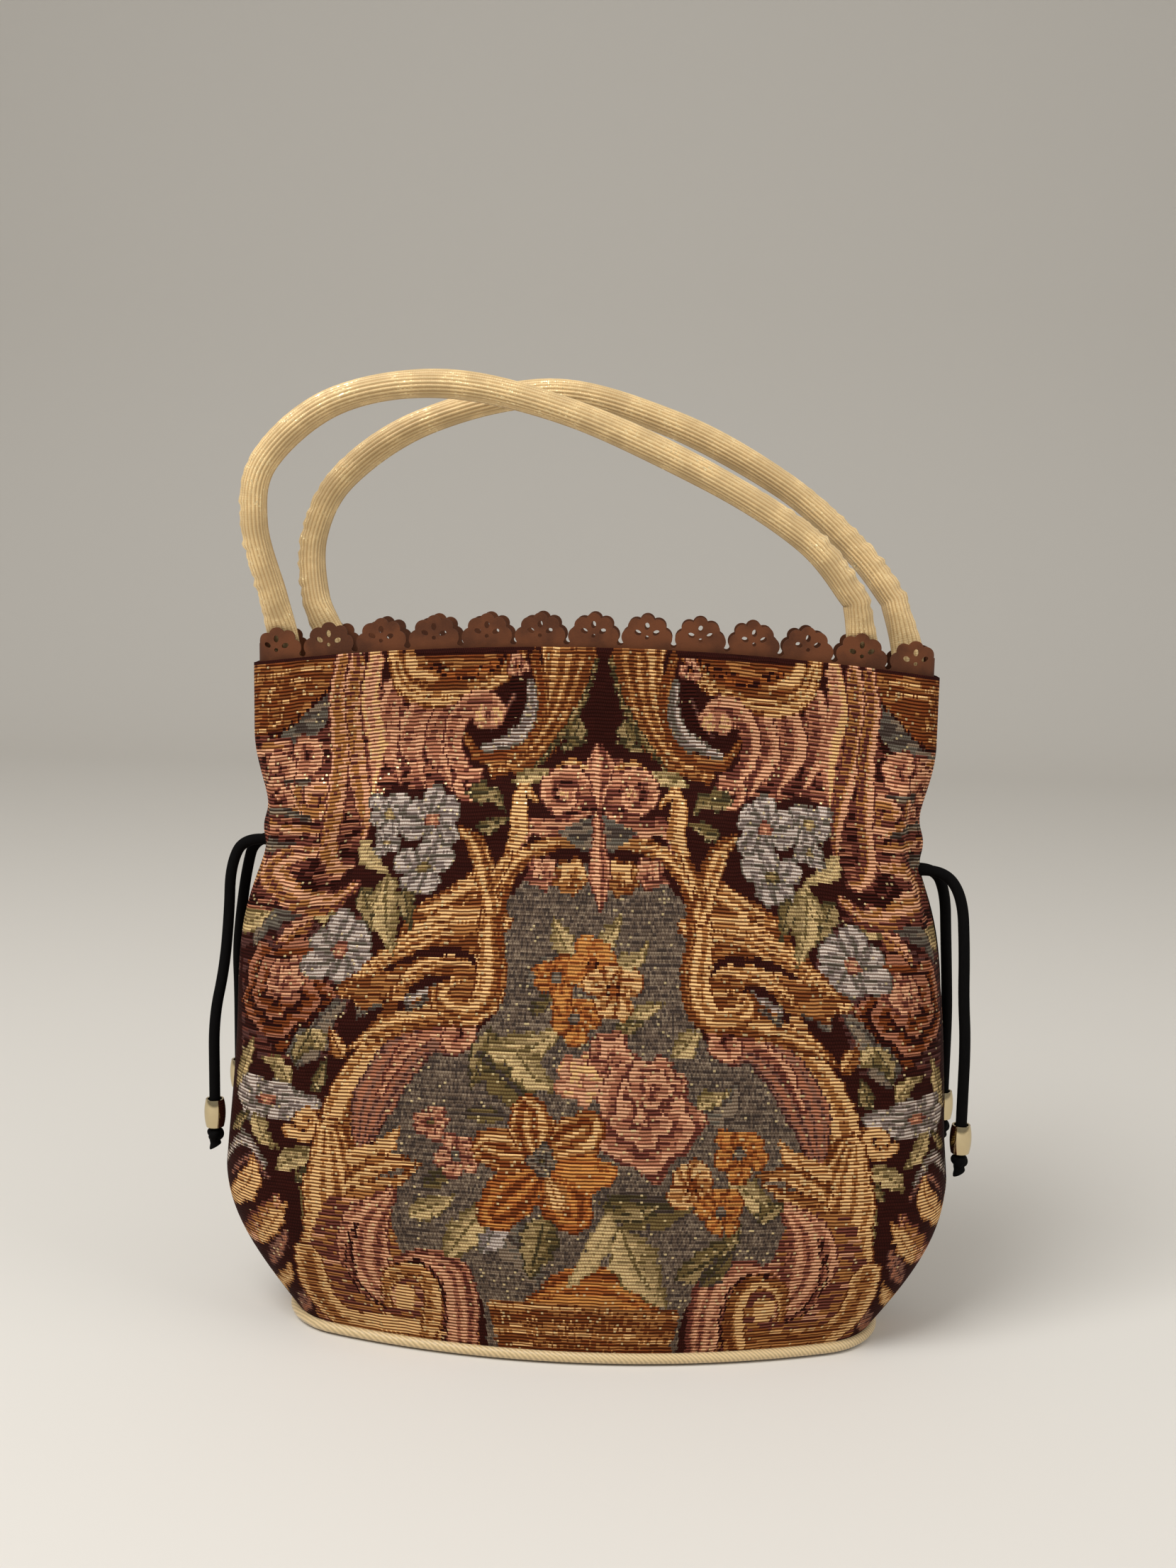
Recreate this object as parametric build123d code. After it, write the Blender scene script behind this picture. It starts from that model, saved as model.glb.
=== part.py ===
from build123d import *
import os
from math import atan2, cos, pi, radians, sin, sqrt, tan

# Small tapestry handbag with a drawstring, two padded handles and a scalloped trim.
# Millimetres. The origin is the middle of the base's underside, +Z is up, the front faces -Y.

# Body cloth
bag_height = 200.0
mouth_bow = 7.0
mouth_width = 195.0
mouth_depth = 15.0
hem_height = 19.0
waist_height = 146.0
waist_width = 184.0
waist_depth = 36.0
belly_height = 46.0
belly_width = 212.0
belly_depth = 74.0
base_width = 172.0
base_depth = 66.0
cloth_thickness = 1.2
base_end_share = 0.67
belly_end_share = 0.70
waist_end_share = 0.78
mouth_end_share = 0.92
side_slope_share = 0.5
side_pinch_power = 4
depth_fall_power = 1.7

# Gathers
gather_depth = 1.2
gather_count = 9
samples_per_gather = 6
gather_reach_up = 26.0
gather_reach_down = 40.0

# Base
base_cloth_thickness = 1.2
board_thickness = 2.0
board_margin = 1.0
piping_diameter = 3.0
piping_lift = 0.5

# Lining
lining_thickness = 0.6
lining_clearance = 0.8
lining_side_room = 13.0
sewn_clearance = 0.1

# Trim
trim_thickness = 0.9
trim_clearance = 0.4
trim_rise = 9.5
trim_tuck = 10.0
scallop_count = 13
lobe_count = 5
scallop_foot_share = 0.16
notch_share = 0.06
valley_width_share = 0.44
peak_width_share = 0.488
valley_height_share = 0.86
eyelet_length = 2.0
eyelet_width = 1.4
dot_diameter = 1.1
top_eyelet_share = 0.66
side_eyelet_share = 0.47
side_eyelet_offset_share = 0.17
dot_share = 0.33
side_eyelet_turn = 62.0

# Handles
handle_diameter = 8.0
handle_rise = 71.0
handle_spread = 9.0
foot_width = 9.0
foot_thickness = 1.6
foot_tuck = 14.0
outer_foot_inset = 11.0
inner_foot_inset = 20.0
foot_round_share = 0.45
tube_round_share = 0.49
foot_end_share = 0.92
foot_overlap = 1.5

# Drawstrings
cord_diameter = 3.2
cord_clearance = 0.3
cord_height = 140.0
cord_spacing = 3.8
strand_offset = 1.8
arc_run_share = 0.45
hole_clearance = 0.4
hole_reach = 12.0

# Beads and knots
bead_length = 8.3
bead_diameter = 6.2
bead_end_diameter = 5.2
bead_bore_clearance = 0.5
bead_rest_gap = 0.3
knot_diameter = 5.4
knot_length = 4.2
knot_neck_diameter = 3.4
tail_length = 5.0
tail_cut_turn = 30.0

overrun = 5.0

# Heights and insets worked out from the sizes above
corner_height = bag_height - mouth_bow
hem_bottom = corner_height - hem_height
piping_centre = piping_lift + piping_diameter / 2
seam_height = piping_lift + piping_diameter + sewn_clearance
cord_radius = cord_diameter / 2
trim_inset = cloth_thickness + trim_clearance
trim_bottom = corner_height - trim_tuck
lining_top = trim_bottom - lining_clearance
board_bottom = base_cloth_thickness + sewn_clearance
lining_floor = board_bottom + board_thickness + sewn_clearance
left_cord_height = cord_height + cord_spacing / 2
right_cord_height = cord_height - cord_spacing / 2

# Shares of the height between base and belly, belly and waist, and waist and hem
lower_shares = (0.0, 0.2, 0.55, 1.0)
middle_shares = (0.3, 0.6, 0.76, 0.88, 1.0)
upper_shares = (0.25, 0.5, 0.75, 1.0)

# Drawstring route inside the casing: shares of the front panel's length, then of the half depth
loop_shares = (0.16, 0.36, 0.58, 0.77)
loop_end_share = 0.80
loop_turn_share = 0.68
loop_start_share = 0.9

# Handle routes: shares of half the mouth width, and of the rise above the mouth
front_handle_shares = (
    (-0.935, 0.17),
    (-0.98, 0.46),
    (-0.945, 0.71),
    (-0.74, 0.94),
    (-0.43, 1.01),
    (-0.08, 0.91),
    (0.31, 0.68),
    (0.60, 0.44),
    (0.735, 0.23),
    (0.755, 0.17),
)
back_handle_shares = (
    (-0.83, 0.17),
    (-0.84, 0.42),
    (-0.75, 0.66),
    (-0.51, 0.88),
    (-0.14, 1.0),
    (0.21, 0.885),
    (0.54, 0.65),
    (0.755, 0.40),
    (0.855, 0.23),
    (0.875, 0.17),
)

# Routes of the four free cord ends, from the side holes to the knots
left_front_route = (
    (-93.4, -1.8, 141.9),
    (-100.5, -1.8, 141.9),
    (-105.8, -4.4, 134.2),
    (-107.6, -7.2, 118.4),
    (-108.4, -8.5, 87.5),
    (-108.4, -8.5, 57.0),
)
left_back_route = (
    (-93.4, 1.8, 141.9),
    (-100.2, 1.8, 141.9),
    (-104.6, 5.6, 134.4),
    (-105.6, 10.4, 119.8),
    (-106.2, 13.0, 91.0),
    (-106.2, 13.0, 62.4),
)
right_front_route = (
    (93.4, -1.8, 138.1),
    (101.0, -1.8, 138.1),
    (108.8, -4.5, 130.8),
    (111.0, -6.8, 115.6),
    (108.4, -8.5, 86.4),
    (108.4, -8.5, 57.0),
)
right_back_route = (
    (93.4, 1.8, 138.1),
    (100.2, 1.8, 138.1),
    (104.8, 5.6, 131.0),
    (106.8, 10.2, 117.2),
    (106.2, 13.0, 88.6),
    (106.2, 13.0, 60.0),
)
cord_routes = {
    "left_front": left_front_route,
    "left_back": left_back_route,
    "right_front": right_front_route,
    "right_back": right_back_route,
}


def blend(start, end, share):
    """Value that lies the given share of the way from start to end."""
    return start + (end - start) * share


def smooth(share):
    """Share eased at both ends."""
    return (1 - cos(pi * share)) / 2


def body_section(height):
    """Half width, half depth and end radius of the body's oval at a height."""
    if height <= belly_height:
        share = sin(pi / 2 * (height - seam_height) / (belly_height - seam_height))
        width = blend(base_width, belly_width, share)
        depth = blend(base_depth, belly_depth, share)
        end_share = blend(base_end_share, belly_end_share, share)
    elif height <= waist_height:
        share = (height - belly_height) / (waist_height - belly_height)
        pinch = blend(smooth(share**side_pinch_power), share, side_slope_share)
        width = blend(belly_width, waist_width, pinch)
        depth = blend(belly_depth, waist_depth, share**depth_fall_power)
        end_share = blend(belly_end_share, waist_end_share, share)
    elif height < hem_bottom:
        share = smooth((height - waist_height) / (hem_bottom - waist_height))
        width = blend(waist_width, mouth_width, share)
        depth = blend(waist_depth, mouth_depth, share)
        end_share = blend(waist_end_share, mouth_end_share, share)
    else:
        width = mouth_width
        depth = mouth_depth
        end_share = mouth_end_share
    return width / 2, depth / 2, end_share * depth / 2


def gather_at(height):
    """Depth of the gathers at a height: full at the waist and none past their reach."""
    reach = gather_reach_up if height > waist_height else gather_reach_down
    share = min(abs(height - waist_height) / reach, 1)
    return gather_depth * cos(pi / 2 * share) ** 2


def oval_side_radius(half_width, half_depth, end_radius):
    """Radius of a four-arc oval's two long sides."""
    reach = (half_width - end_radius) ** 2 + half_depth**2 - end_radius**2
    return reach / (2 * (half_depth - end_radius))


def oval_point(half_width, half_depth, end_radius, share, offset):
    """Point on the front half of a four-arc oval, a share of the way from left to right seam."""
    side_radius = oval_side_radius(half_width, half_depth, end_radius)
    side_turn = atan2(half_width - end_radius, side_radius - half_depth)
    end_length = end_radius * (pi / 2 - side_turn)
    total = 2 * end_length + 2 * side_radius * side_turn
    run = total * min(share, 1 - share)
    if run < end_length:
        turn = run / end_radius
        x = -(half_width - end_radius) - (end_radius + offset) * cos(turn)
        y = -(end_radius + offset) * sin(turn)
    else:
        turn = side_turn - (run - end_length) / side_radius
        x = -(side_radius + offset) * sin(turn)
        y = side_radius - half_depth - (side_radius + offset) * cos(turn)
    return (x if share <= 0.5 else -x), y


def oval_face(half_width, half_depth, end_radius, offset, height):
    """Flat four-arc oval, grown by an offset, at a height."""
    side_radius = oval_side_radius(half_width, half_depth, end_radius)
    side_turn = atan2(half_width - end_radius, side_radius - half_depth)
    reach_x = half_width + offset
    reach_y = half_depth + offset
    join_x = (side_radius + offset) * sin(side_turn)
    join_y = (side_radius + offset) * cos(side_turn) - (side_radius - half_depth)
    front = ThreePointArc((-join_x, -join_y, height), (0, -reach_y, height), (join_x, -join_y, height))
    right = ThreePointArc((join_x, -join_y, height), (reach_x, 0, height), (join_x, join_y, height))
    back = ThreePointArc((join_x, join_y, height), (0, reach_y, height), (-join_x, join_y, height))
    left = ThreePointArc((-join_x, join_y, height), (-reach_x, 0, height), (-join_x, -join_y, height))
    return make_face([front, right, back, left])


def panel_face(height):
    """Thin curved section of the front panel at a height, with its gathers."""
    samples = samples_per_gather * gather_count
    outer = []
    inner = []
    for index in range(samples + 1):
        share = index / samples
        swell = gather_at(height) * cos(2 * pi * gather_count * share)
        outer.append((*oval_point(*body_section(height), share, swell), height))
        inner.append((*oval_point(*body_section(height), share, swell - cloth_thickness), height))
    edges = [
        Spline(*outer),
        Line(outer[-1], inner[-1]),
        Spline(*reversed(inner)),
        Line(inner[0], outer[0]),
    ]
    return make_face(edges)


def body_heights():
    """Heights of the sections that shape the body, from the base seam to the hem."""
    lower = [blend(seam_height, belly_height, share) for share in lower_shares]
    middle = [blend(belly_height, waist_height, share) for share in middle_shares]
    upper = [blend(waist_height, hem_bottom, share) for share in upper_shares]
    return lower + middle + upper


def above_mouth():
    """Block above the bowed mouth edge, for cutting the panels."""
    left_corner = (-mouth_width / 2, 0, corner_height)
    right_corner = (mouth_width / 2, 0, corner_height)
    reach = mouth_width / 2 + overrun
    lid = bag_height + overrun
    arc = ThreePointArc(left_corner, (0, 0, bag_height), right_corner)
    rest = Polyline(
        right_corner,
        (reach, 0, corner_height),
        (reach, 0, lid),
        (-reach, 0, lid),
        (-reach, 0, corner_height),
        left_corner,
    )
    return extrude(make_face([arc, *rest.edges()]), amount=mouth_depth, dir=(0, 1, 0), both=True)


def side_holes():
    """Round holes through the side seams, one for each drawstring."""
    radius = cord_diameter + hole_clearance
    left = Pos(-waist_width / 2, 0, left_cord_height) * Rot(Y=90) * Cylinder(radius, hole_reach)
    right = Pos(waist_width / 2, 0, right_cord_height) * Rot(Y=90) * Cylinder(radius, hole_reach)
    return left + right


def make_front_panel():
    """Front tapestry panel, gathered at the waist, with a plain band up to the bowed mouth."""
    body = loft([panel_face(height) for height in body_heights()])
    band = extrude(panel_face(hem_bottom), amount=bag_height - hem_bottom)
    return body + band - above_mouth() - side_holes()


def casing_share(height):
    """One where the cords run, falling to none just above and below the casing."""
    level = cord_spacing + cord_diameter
    fall = (abs(height - cord_height) - level) / (2 * level)
    return 1 - smooth(min(max(fall, 0), 1))


def lining_face(height, inset, level):
    """Section of the lining, taken from the body at a height and drawn at a level."""
    half_width, half_depth, end_radius = body_section(height)
    half_width -= lining_side_room * casing_share(height)
    channel = cord_diameter + 2 * cord_clearance + gather_depth
    gap = cloth_thickness + lining_clearance + gather_at(height) + channel * casing_share(height)
    return oval_face(half_width, half_depth, end_radius, -gap - inset, level)


def make_lining():
    """Inner cloth bag with a floor, held away from the panels where the cords run."""
    heights = [height for height in body_heights() if height > lining_floor + lining_thickness + overrun]
    heights.append(lining_top)
    outer = [lining_face(seam_height, 0, lining_floor)]
    inner = [lining_face(seam_height, lining_thickness, lining_floor + lining_thickness)]
    outer += [lining_face(height, 0, height) for height in heights]
    inner += [lining_face(height, lining_thickness, height) for height in heights]
    return loft(outer, ruled=True) - loft(inner, ruled=True)


def base_oval(offset, height):
    """Oval of the base seam, grown by an offset."""
    return oval_face(base_width / 2, base_depth / 2, base_end_share * base_depth / 2, offset, height)


def make_base_panel():
    """Oval cloth base inside the piping."""
    inset = piping_diameter / 2
    return extrude(base_oval(-inset, 0), amount=base_cloth_thickness)


def make_base_board():
    """Stiff oval board lying on the base cloth."""
    inset = piping_diameter / 2 + board_margin
    return extrude(base_oval(-inset, board_bottom), amount=board_thickness)


def make_base_piping():
    """Round piping along the base seam."""
    path = base_oval(0, piping_centre).face().outer_wire()
    ring = Plane(origin=path @ 0, z_dir=path % 0) * Circle(piping_diameter / 2)
    return sweep(ring, path=path)


def mouth_edge(x):
    """Height of the bowed mouth edge at a place across the mouth."""
    return corner_height + mouth_bow * (1 - (2 * x / mouth_width) ** 2)


def scallop_centres():
    """Places of the scallops' middles across the mouth."""
    pitch = mouth_width / scallop_count
    return [(index + 0.5) * pitch - mouth_width / 2 for index in range(scallop_count)]


def scallop_outline():
    """Front outline of the trim: lobed scallops with a rounded notch between neighbours."""
    pitch = mouth_width / scallop_count
    foot = trim_rise * scallop_foot_share
    step = pi / lobe_count
    edges = []
    end = (-mouth_width / 2, 0, mouth_edge(mouth_width / 2) + trim_rise * notch_share)
    start = end
    for centre in scallop_centres():

        def ring_point(turn, width_share, height_share):
            x = centre - pitch * width_share * cos(turn)
            rise = (trim_rise - foot) * height_share * sin(turn)
            return (x, 0, mouth_edge(x) + foot + rise)

        first = ring_point(0, valley_width_share, valley_height_share)
        if centre == scallop_centres()[0]:
            edges.append(Line(end, first))
        else:
            low = min(end[2], first[2]) - trim_rise * (scallop_foot_share - notch_share)
            edges.append(ThreePointArc(end, ((end[0] + first[0]) / 2, 0, low), first))
        for lobe in range(lobe_count):
            valley = ring_point(lobe * step, valley_width_share, valley_height_share)
            peak = ring_point((lobe + 0.5) * step, peak_width_share, 1)
            end = ring_point((lobe + 1) * step, valley_width_share, valley_height_share)
            edges.append(ThreePointArc(valley, peak, end))
    rest = Polyline(
        end,
        (mouth_width / 2, 0, start[2]),
        (mouth_width / 2, 0, trim_bottom),
        (-mouth_width / 2, 0, trim_bottom),
        start,
    )
    return make_face([*edges, *rest.edges()])


def eyelet_cutters():
    """Drills for each scallop's flower of three eyelets over a round dot."""
    pitch = mouth_width / scallop_count
    depth = 2 * mouth_depth
    cutters = []
    for centre in scallop_centres():
        edge = mouth_edge(centre)
        petals = [(0, top_eyelet_share, 0)]
        petals.append((-pitch * side_eyelet_offset_share, side_eyelet_share, side_eyelet_turn))
        petals.append((pitch * side_eyelet_offset_share, side_eyelet_share, -side_eyelet_turn))
        for offset, rise_share, turn in petals:
            place = Pos(centre + offset, 0, edge + trim_rise * rise_share) * Rot(X=90)
            petal = extrude(Ellipse(eyelet_width / 2, eyelet_length / 2), amount=depth, both=True)
            cutters.append(place * Rot(Z=turn) * petal)
        dot = Cylinder(dot_diameter / 2, depth)
        cutters.append(Pos(centre, 0, edge + trim_rise * dot_share) * Rot(X=90) * dot)
    return cutters


def make_scalloped_trim():
    """Thin band round the inside of the mouth, cut to lobed scallops with eyelets."""
    section = body_section(bag_height)
    wall = oval_face(*section, -trim_inset, trim_bottom)
    wall -= oval_face(*section, -trim_inset - trim_thickness, trim_bottom)
    band = extrude(wall, amount=bag_height + trim_rise + overrun - trim_bottom)
    blank = extrude(scallop_outline(), amount=mouth_depth, dir=(0, 1, 0), both=True)
    return (band & blank) - eyelet_cutters()


def route_path(points, name):
    """Straight runs joined by arcs as large as the shorter of each pair of runs allows."""
    places = [Vector(*point) for point in points]
    runs = [after - before for before, after in zip(places, places[1:])]
    radii = []
    for before, after in zip(runs, runs[1:]):
        turn = radians(before.get_angle(after))
        radii.append(arc_run_share * min(before.length, after.length) / tan(turn / 2))
    print(name, "radii", [round(radius, 1) for radius in radii])
    return FilletPolyline(*places, radius=radii)


def wall_depth(x, offset):
    """Half depth of the mouth's oval at a place across it, grown by an offset."""
    half_width, half_depth, end_radius = body_section(bag_height)
    side_radius = oval_side_radius(half_width, half_depth, end_radius)
    return sqrt((side_radius + offset) ** 2 - x**2) - (side_radius - half_depth)


def make_tube(points, radius, name):
    """Round tube along a route, with its volume set against section times length."""
    path = route_path(points, name)
    tube = sweep(Plane(origin=path @ 0, z_dir=path % 0) * Circle(radius), path=path)
    expected = pi * radius**2 * path.length
    print(name, "length", round(path.length, 1), "volume share", round(tube.volume / expected, 4))
    return tube


def make_handle(route_shares, side, left_inset, right_inset, name):
    """Padded tube handle, flattened at both feet, which are sewn inside the trim."""
    half_mouth = mouth_width / 2
    foot_edge = half_mouth - min(left_inset, right_inset) + foot_width / 2
    wall = wall_depth(foot_edge, -trim_inset - trim_thickness)
    foot_y = side * (wall - sewn_clearance - foot_thickness / 2)
    top_y = side * handle_spread
    points = []
    for x_share, z_share in route_shares:
        lean_share = min(2 * z_share, 1)
        place = (half_mouth * x_share, blend(foot_y, top_y, lean_share), bag_height + handle_rise * z_share)
        points.append(place)
    handle = make_tube(points, handle_diameter / 2, name)
    path_ends = [(Vector(*points[0]), Vector(*points[1])), (Vector(*points[-1]), Vector(*points[-2]))]
    foot_places = [-half_mouth + left_inset, half_mouth - right_inset]
    for (end, beyond), foot_x in zip(path_ends, foot_places):
        foot_top = Plane((foot_x, foot_y, mouth_edge(abs(foot_x) - foot_width / 2) + trim_rise))
        flat = foot_top * RectangleRounded(foot_width, foot_thickness, foot_thickness * foot_round_share)
        heading = (beyond - end).normalized()
        inside = Plane(origin=end + heading * foot_overlap, x_dir=(1, 0, 0), z_dir=heading)
        thick = handle_diameter * foot_end_share
        handle += loft([flat, inside * RectangleRounded(thick, thick, thick * tube_round_share)])
        handle += extrude(flat, amount=-foot_tuck)
    return handle


def make_drawstring_loop(side, height, name):
    """Drawstring inside the casing: in at one seam hole, round the waist and out again."""
    inset = cloth_thickness + gather_depth + 2 * cord_clearance + cord_radius
    section = body_section(height)
    start_x = left_front_route[0][0]
    turn_x = section[0] * loop_end_share
    turn_y = (section[1] - inset) * loop_turn_share
    quarter = [(start_x, -strand_offset), (start_x * loop_start_share, -strand_offset)]
    quarter += [oval_point(*section, share, -inset) for share in loop_shares]
    quarter += [(turn_x, -turn_y)]
    route = quarter + [(x, -y) for x, y in reversed(quarter)]
    return make_tube([(side * x, y, height) for x, y in route], cord_radius, name)


def make_bead(route):
    """Barrel bead with a clear bore, resting just above its knot."""
    bore = cord_radius + bead_bore_clearance
    side = ThreePointArc(
        (bead_end_diameter / 2, 0, 0),
        (bead_diameter / 2, 0, bead_length / 2),
        (bead_end_diameter / 2, 0, bead_length),
    )
    rest = Polyline(
        (bead_end_diameter / 2, 0, bead_length),
        (bore, 0, bead_length),
        (bore, 0, 0),
        (bead_end_diameter / 2, 0, 0),
    )
    bead = revolve(make_face([side, *rest.edges()]), axis=Axis.Z)
    x, y, z = route[-1]
    return Pos(x, y, z + bead_rest_gap) * bead


def make_knot(route):
    """Stop knot under the bead, with a short tail cut on a slant."""
    neck = knot_neck_diameter / 2
    side = ThreePointArc((neck, 0, 0), (knot_diameter / 2, 0, -knot_length / 2), (neck, 0, -knot_length))
    rest = Polyline((neck, 0, -knot_length), (0, 0, -knot_length), (0, 0, 0), (neck, 0, 0))
    knot = revolve(make_face([side, *rest.edges()]), axis=Axis.Z)
    tail = Pos(0, 0, -knot_length - tail_length / 2) * Cylinder(cord_radius, tail_length)
    cutter = Pos(0, 0, -knot_length - tail_length) * Rot(Y=tail_cut_turn)
    tail -= cutter * Pos(0, 0, -tail_length / 2) * Box(tail_length * 2, tail_length * 2, tail_length)
    x, y, z = route[-1]
    return Pos(x, y, z) * (knot + tail)


def main():
    os.makedirs("parts", exist_ok=True)
    front_panel = make_front_panel()
    nodes = {
        "front_panel": front_panel,
        "back_panel": mirror(front_panel, about=Plane.XZ),
        "lining": make_lining(),
        "base_panel": make_base_panel(),
        "base_board": make_base_board(),
        "base_piping": make_base_piping(),
        "scalloped_trim": make_scalloped_trim(),
        "handle_front": make_handle(
            front_handle_shares, -1, outer_foot_inset, inner_foot_inset, "handle_front"
        ),
        "handle_back": make_handle(
            back_handle_shares, 1, inner_foot_inset, outer_foot_inset, "handle_back"
        ),
        "drawstring_left_loop": make_drawstring_loop(1, left_cord_height, "drawstring_left_loop"),
        "drawstring_right_loop": make_drawstring_loop(-1, right_cord_height, "drawstring_right_loop"),
    }
    for name, route in cord_routes.items():
        nodes[f"{name}_cord"] = make_tube(route, cord_radius, f"{name}_cord")
        nodes[f"{name}_bead"] = make_bead(route)
        nodes[f"{name}_knot"] = make_knot(route)
    for name, solid in nodes.items():
        export_step(solid, f"parts/{name}.step")


main()
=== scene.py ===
"""Looks of a small drawstring handbag of floral tapestry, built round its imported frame."""

import math

import bpy
import numpy as np
from mathutils import Matrix, Vector


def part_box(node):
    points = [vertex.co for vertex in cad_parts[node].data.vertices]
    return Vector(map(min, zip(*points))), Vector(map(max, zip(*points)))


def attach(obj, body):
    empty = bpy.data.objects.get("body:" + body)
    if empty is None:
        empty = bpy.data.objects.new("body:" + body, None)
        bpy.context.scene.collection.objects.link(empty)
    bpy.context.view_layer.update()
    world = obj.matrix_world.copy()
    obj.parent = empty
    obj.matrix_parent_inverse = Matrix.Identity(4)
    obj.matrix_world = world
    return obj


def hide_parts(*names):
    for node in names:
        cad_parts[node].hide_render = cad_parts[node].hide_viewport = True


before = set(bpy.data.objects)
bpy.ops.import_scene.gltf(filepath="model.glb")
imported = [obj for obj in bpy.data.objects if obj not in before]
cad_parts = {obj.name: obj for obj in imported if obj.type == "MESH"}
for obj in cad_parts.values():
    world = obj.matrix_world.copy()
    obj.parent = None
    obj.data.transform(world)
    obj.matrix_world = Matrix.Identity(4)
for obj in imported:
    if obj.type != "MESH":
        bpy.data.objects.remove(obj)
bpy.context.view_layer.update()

bl_info = {
    "name": "Tapestry drawstring bag",
    "version": (1, 0, 0),
    "blender": (4, 5, 0),
    "location": "View3D > Sidebar > Bag",
    "description": "Tapestry, handles, drawstrings and trim of a small handbag",
    "category": "Object",
}

MM = 0.001

# The photograph's frame, and where its camera stood
PHOTO_WIDTH = 1659
PHOTO_HEIGHT = 2212
FOCAL_PIXELS = 2500
CAMERA_PLACE = (24.6 * MM, -502.7 * MM, 233.9 * MM)
CAMERA_PITCH = math.radians(8.32)
CAMERA_YAW = math.radians(-2.92)
CAMERA_ROLL = math.radians(1.05)
PIXEL = MM / 4.83

# Woven grid of one panel, with the rows that are turned in at the mouth
PICK_COUNT = 196
WARP_COUNT = 420
HEM_ROWS = 3
HEM_INSET = 0.6 * MM
PANEL_WIDTH = 236 * MM
PANEL_LENGTH = 202 * MM

# How late the width and the depth draw in from the belly to the waist
WIDTH_POWER = 4
DEPTH_POWER = 1.7

# Gathers at the waist: their reach and count, the drift of the folds and the deepest hollow between them
GATHER_REACH_UP = 30 * MM
GATHER_REACH_DOWN = 62 * MM
GATHER_COUNT = 9
FOLD_DRIFT = 0.12
FOLD_HOLLOW = -0.3

# Bump over a side hole: the share of the panel's width, and the height, in which it fades
CASING_SPREAD = 0.035
CASING_RISE = 5 * MM

# Slack of the cloth below the waist: its depth, and its waves across and up with their shifts
SLACK_DEPTH = 0.7 * MM
SLACK_WAVES = ((7.3, 31.0, 0.0), (-5.1, 43.0, 0.6))

# Yarns: seed and runs of their chance values, scatter and hatching of the shades
YARN_SEED = 11
TONE_RUN = 7
EDGE_RUN = 6
DITHER = 0.3
HATCH = 0.11

# Strength of the weft lines, that is of their painted highlight and shade, in the ground, in flowers and in
# roses
GROUND_LINES = 0.25
FLOWER_LINES = 0.8
ROSE_LINES = 0.9

# Motifs: uneven edge, dark outline, points of a path to a span, and depth of the flutes and teeth
RAGGED_EDGE = 0.45 * MM
OUTLINE = 0.5 * MM
PATH_STEPS = 12
FLUTE_DEPTH = 0.3
FLUTE_TWIST = 2.0
TOOTH_DEPTH = 0.25

# Half widths of a leaf from base to tip and of a curl from its start inwards, as shares
LEAF_WIDTHS = (0.25, 0.85, 1.0, 0.85, 0.5, 0.08)
CURL_WIDTHS = (1.0, 1.0, 0.8, 0.6)

# Points to a turn of a curl, and the share of its radius by which it closes
CURL_STEPS = 10
CURL_CLOSING = 0.85

# Reach of a flower's heart, as a share of the flower
HEART_REACH = 0.22

# Cells at the edge of the view that aren't repeated round the sides
SIDE_CELLS = 6

# Tracing frame of the motifs: its corner and its step, in pixels of the photograph
TRACE_LEFT = 300
TRACE_TOP = 860
TRACE_STEP = 0.7015
TRACE_UNIT = TRACE_STEP * PIXEL

# Tracing place given to cells that the camera can't see
UNSEEN = PHOTO_WIDTH * 10

# Middle line of the pattern, at the foot and at the mouth
AXIS_FOOT = 2.0 * MM
AXIS_TOP = 3.7 * MM

# Handle mesh: ribs and segments round it, rings along it, path points to a span, seeds of its puckers
HANDLE_RIBS = 20
HANDLE_SEGMENTS = 120
HANDLE_RINGS = 280
HANDLE_STEPS = 22
HANDLE_SEEDS = {"handle_front": 5, "handle_back": 6}

# Feet of a handle: straight part of its path, flat part, and length over which it fills out
FOOT_STRAIGHT = 9 * MM
FOOT_FLAT = 8 * MM
FOOT_FILL = 16 * MM

# Puckers inside a handle's bends: waves along the handle, depth, distance from the foot and spread
PUCKER_WAVES = (47, 71, 98)
PUCKER_DEPTH = 0.2 * MM
PUCKER_PLACE = 34 * MM
PUCKER_SPREAD = 24 * MM

# Unevenness of a handle's filling, and the angle and spread of its seam
FILLING_DEPTH = 0.12 * MM
FILLING_WAVES = 5
SEAM_ANGLE = np.pi * 0.94
SEAM_SPREAD = 0.12

# Knot: rings and segments of its turns, radius of the pulled cord, rise of the turns, drop below the cord
KNOT_RINGS = 96
KNOT_SEGMENTS = 20
KNOT_RADIUS = 1.25 * MM
KNOT_RISE = 1.32
KNOT_DROP = 2.1 * MM

# Tail of a knot: rings, segments, drop of its top, rise of its end over the knot's box, slant of the cut
TAIL_RINGS = 12
TAIL_SEGMENTS = 24
TAIL_DROP = 3.0 * MM
TAIL_LIFT = 3.2 * MM
TAIL_SLANT = 0.9 * MM

# Lamps and sky, in metres and scene colours
KEY_PLACE = (-0.5, -0.6, 1.1)
SIDE_PLACE = (0.9, -0.35, 0.6)
LAMP_SIZE = 0.7
LAMP_TARGET = (0, 0, 0.12)
SKY_LEVEL = (0.5, 0.49, 0.47)
SKY_OVERHEAD = (1.0, 0.97, 0.92)

# Floor, in metres: reach to the front and the sides, depth behind, rise and bend of the backdrop
FLOOR_REACH = 3.0
FLOOR_DEPTH = 1.2
FLOOR_RISE = 2.0
FLOOR_BEND = 0.5
FLOOR_STEPS = 12

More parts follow.
